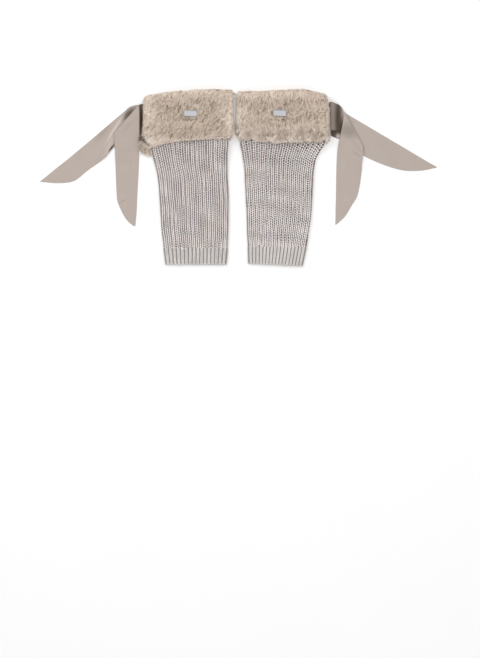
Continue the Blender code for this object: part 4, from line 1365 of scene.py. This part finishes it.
def ribbon(name, parts, side, finish, between):
    """A ribbon: points across each row from edge to edge, closer together near the edges,
    bowed in the middle, on smooth curves from row to row, lowered by its creases. Its two
    layers lie half a thickness to each side, thinner at the edges and along the two seams.
    Each painted shade or painted highlight takes a share of the colour that falls off round its
    oval, steeper than a bell, and the edges take a painted highlight."""
    rows = np.concatenate([np.stack(part, axis=1) for part in parts])
    places = np.linspace(0.0, len(rows) - 1.0, (len(rows) - 1) * between + 1)
    found = curve_through(rows, places)
    even = np.linspace(0.0, 1.0, RIBBON_POINTS)
    crowded = (1.0 - np.cos(np.linspace(0.0, math.pi, RIBBON_POINTS))) / 2.0
    share = (crowded * 0.6 + 0.4 * even)[None, :, None]
    grid = found[:, None, 0:3] + (found[:, None, 3:6] - found[:, None, 0:3]) * share
    share = share[..., 0]
    grid[..., 2] += found[:, 6:7] * 4.0 * share * (1.0 - share)
    grid[..., 2] = np.maximum(grid[..., 2], RIBBON_REST)
    if side > 0:
        grid = grid[:, ::-1]
    crease = crease_depth(RIBBON_CREASES[name], grid[..., 0], grid[..., 1])
    grid[..., 2] = np.maximum(grid[..., 2] - crease, RIBBON_REST)
    normal = unit(np.cross(np.gradient(grid, axis=0), np.gradient(grid, axis=1)))
    width = np.linalg.norm(grid[:, -1] - grid[:, 0], axis=-1)[:, None]
    from_edge = np.minimum(share, 1.0 - share) * width
    rounded = np.sqrt(np.clip(from_edge / EDGE_WIDTH, 0.0, 1.0))
    half = RIBBON_THICKNESS / 2.0 * (EDGE_SHARE + (1.0 - EDGE_SHARE) * rounded)
    half = half - SEAM_DEPTH * np.exp(-(((from_edge - SEAM_IN) / SEAM_HALF_WIDTH) ** 2))
    upper, lower = grid + normal * half[..., None], grid - normal * half[..., None]
    lower[..., 2] = np.maximum(lower[..., 2], TABLE_CLEAR)
    steps = np.linalg.norm(np.diff(grid[:, RIBBON_POINTS // 2], axis=0), axis=-1)
    run = np.concatenate([[0.0], np.cumsum(steps)])
    weave = np.stack(np.broadcast_arrays(run[:, None], share * width, 0.0), axis=-1)
    weave = weave.reshape(-1, 3)
    x, y = np.concatenate([upper.reshape(-1, 3), lower.reshape(-1, 3)]).T[:2]
    # Painted shade and painted highlights: each oval darkens the satin towards its deep colour, or
    # lightens it where its loss is below 0
    painted_shade = np.zeros(len(x))
    for spot in RIBBON_PAINTED_SHADES[name]:
        on = (weave[:, 0] >= spot.start) & (weave[:, 0] <= spot.end)
        share_here = np.exp(-(oval_distance(spot, x, y) ** 1.5)) * np.tile(on, 2)
        painted_shade = painted_shade * (1.0 - abs(spot.loss) * share_here) + spot.loss * share_here
    edge = np.tile(np.clip(1.0 - from_edge.ravel(), 0.0, 1.0), 2)
    painted_highlight = np.maximum(np.clip(-painted_shade, 0.0, 1.0), EDGE_PAINTED_HIGHLIGHT * edge * (painted_shade < 0.3))
    painted_shade = np.clip(painted_shade, 0.0, 1.0)
    values = {"weave": np.tile(weave, (2, 1)), "painted_shade": painted_shade, "painted_highlight": painted_highlight}
    return two_layers(name, upper, lower, finish, values)


def label(plan, finish):
    """The blank label: a thin sheet that follows the dented pile (a bell turned over), pressed
    in along the seams at its two ends."""
    turn = math.radians(LABEL_TILT_DEGREES)
    along = np.linspace(-0.5, 0.5, 27)[None, :] * LABEL_WIDTH
    up = np.linspace(0.5, -0.5, 13)[:, None] * LABEL_HEIGHT
    x = plan.label.x + along * math.cos(turn) - up * math.sin(turn)
    y = plan.label.y + along * math.sin(turn) + up * math.cos(turn)
    low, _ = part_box(f"label_{plan.name}")
    away = (x - plan.label.x) ** 2 + (y - plan.label.y) ** 2
    dent = LABEL_DENT * (1.0 - np.exp(-away / LABEL_DENT_RADIUS**2))
    bottom = low.z / MM + dent * LABEL_FOLLOWS_DENT
    grid = np.stack([x, y, bottom + LABEL_THICKNESS / 2.0], axis=-1)
    from_seam = np.abs(along) - LABEL_WIDTH / 2.0 + LABEL_SEAM_IN + 0.0 * up
    seam = np.exp(-((from_seam / LABEL_SEAM_HALF_WIDTH) ** 2))
    half = LABEL_THICKNESS / 2.0 - LABEL_SEAM_DEPTH * seam
    half = np.stack([0.0 * x, 0.0 * x, half], axis=-1)
    weave = np.stack(np.broadcast_arrays(along, up, 0.0), axis=-1).reshape(-1, 3)
    to_edge = np.minimum(LABEL_WIDTH / 2.0 - np.abs(along), LABEL_HEIGHT / 2.0 - np.abs(up))
    # Painted shade, strongest at the label's edges
    rim = 1.0 - smoothstep(to_edge.ravel() / LABEL_PAINTED_SHADE_WIDTH)
    values = {"weave": np.tile(weave, (2, 1)), "rim": np.tile(rim, 2)}
    return two_layers(f"blank_label_{plan.name}", grid + half, grid - half, finish, values)


# The scene around the part: floor in millimetres, lamps in metres and watts

FLOOR_HALF_SIDE = 6000.0
SKY_STRENGTH = 0.46
Lamp = namedtuple("Lamp", "x y z size power")
LAMPS = (
    Lamp(-1.3, 1.2, 1.9, 1.6, 20.0),
    Lamp(1.5, 0.9, 2.2, 1.6, 9.0),
    Lamp(0.2, -1.5, 2.6, 2.0, 9.0),
    Lamp(0.0, 0.1, 6.5, 0.8, 140.0),
)


def set_camera():
    """Straight down on the table, the photograph's top towards +Y."""
    camera = bpy.data.objects.new("camera", bpy.data.cameras.new("camera"))
    bpy.context.scene.collection.objects.link(camera)
    camera.data.lens = CAMERA_LENS
    camera.data.sensor_width = CAMERA_SENSOR
    camera.data.clip_end = 100.0
    distance = CAMERA_LENS * PHOTO_ROWS * PIXEL / CAMERA_SENSOR
    camera.location = (CAMERA_X * MM, CAMERA_Y * MM, distance * MM)
    bpy.context.scene.camera = camera


def set_stage():
    """A pale floor, one even sky, three wide soft lights round the table and one high above."""
    side = FLOOR_HALF_SIDE
    corners = np.array([[-side, -side, 0], [side, -side, 0], [side, side, 0], [-side, side, 0]])
    paper = floor_material("floor_paper", (0.93, 0.93, 0.93))
    floor = make_piece("floor", corners, [[0, 1, 2, 3]], [], paper, {})
    world = bpy.data.worlds.new("studio")
    world.use_nodes = True
    sky = world.node_tree.nodes["Background"].inputs
    sky["Color"].default_value = (1.0, 1.0, 1.0, 1.0)
    sky["Strength"].default_value = SKY_STRENGTH
    bpy.context.scene.world = world
    for number, lamp in enumerate(LAMPS):
        light = bpy.data.lights.new(f"softbox_{number}", "AREA")
        light.size = lamp.size
        light.energy = lamp.power
        made = bpy.data.objects.new(f"softbox_{number}", light)
        made.location = (lamp.x, lamp.y, lamp.z)
        made.rotation_euler = (-made.location).to_track_quat("-Z", "Y").to_euler()
        bpy.context.scene.collection.objects.link(made)
    bpy.context.scene.view_settings.view_transform = "Standard"


# Of the plan's fields, the painted light weights how much painted highlight a cuff's outline takes
# at its left, right, top and bottom
PLAN_FIELDS = "name side knit hem cuff edges label front back lift_middle comb curl pale trim seed"
Plan = namedtuple("Plan", PLAN_FIELDS)
PLANS = (
    Plan(
        name="left",
        side=-1,
        knit=KNIT_LEFT,
        hem=HEM_LEFT,
        cuff=CUFF_LEFT,
        edges=EDGES_LEFT,
        label=LABEL_LEFT,
        front=(FRONT_RIBBON_LEFT_BAND, fold_rows(FOLD_LEFT, -1), FRONT_RIBBON_LEFT_TAIL),
        back=(BACK_RIBBON_LEFT,),
        lift_middle=38,
        comb=(-0.45, -0.75),
        curl=(0.2, 0.3),
        pale=(0.75, 0.8, 0.6, 1.25),
        trim=2.4,
        seed=100,
    ),
    Plan(
        name="right",
        side=1,
        knit=KNIT_RIGHT,
        hem=HEM_RIGHT,
        cuff=CUFF_RIGHT,
        edges=EDGES_RIGHT,
        label=LABEL_RIGHT,
        front=(FRONT_RIBBON_RIGHT_BAND, fold_rows(FOLD_RIGHT, 1), FRONT_RIBBON_RIGHT_TAIL),
        back=(BACK_RIBBON_RIGHT,),
        lift_middle=56,
        comb=(-0.10, -0.70),
        curl=(0.2, 0.85),
        pale=(0.8, 0.10, 0.9, 1.6),
        trim=0.9,
        seed=200,
    ),
)

# Cuts, flat, in metres: width, length and, where the cut isn't a rectangle, its area
Cut = namedtuple("Cut", "width length area")


def add(made, nodes):
    """Puts a piece on the body, and hides the solids it stands for."""
    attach(made, "root")
    if nodes:
        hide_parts(*nodes)


set_camera()
set_stage()

# Colours of the finishes, from the deepest to the palest. The deepest yarn colours are painted
# shade for recesses, the deepest satin colour painted shade for folds and gaps, and the palest
# satin colour a painted highlight
knit_colors = (0.012, 0.008, 0.007), (0.455, 0.390, 0.370), (1.0, 0.925, 0.898)
hem_colors = (0.17, 0.156, 0.147), (0.51, 0.476, 0.455), (0.74, 0.70, 0.67)
fur_colors = (0.34, 0.26, 0.20), (0.76, 0.635, 0.525), (0.92, 0.795, 0.685)
satin_colors = (0.036, 0.021, 0.008), (0.437, 0.372, 0.331), (0.66, 0.58, 0.53)
knit_finish = yarn_material("knit_yarn", *knit_colors)
hem_finish = yarn_material("hem_yarn", *hem_colors)
fur_finish = fur_material("fur_pile", *fur_colors)
satin_finish = satin_material("satin_ribbon", *satin_colors)
label_finish = label_material("woven_label", (0.57, 0.57, 0.575))

for plan in PLANS:
    tube, tube_yarn = knit_leg(plan, knit_finish)
    band, band_yarn = hem_band(plan, hem_finish)
    backing, piles = fur_cuff(plan, fur_finish)
    front = ribbon(f"satin_front_{plan.name}", plan.front, plan.side, satin_finish, 6)
    back = ribbon(f"satin_back_{plan.name}", plan.back, plan.side, satin_finish, 8)
    patch = label(plan, label_finish)
    add(tube_yarn, ())
    add(tube, (f"knit_leg_{plan.name}",))
    add(band_yarn, ())
    add(band, (f"hem_band_{plan.name}",))
    for pile in piles:
        add(pile, ())
    add(backing, (f"fur_cuff_{plan.name}",))
    add(front, (f"ribbon_front_{plan.name}",))
    add(back, (f"ribbon_back_{plan.name}",))
    add(patch, (f"label_{plan.name}",))
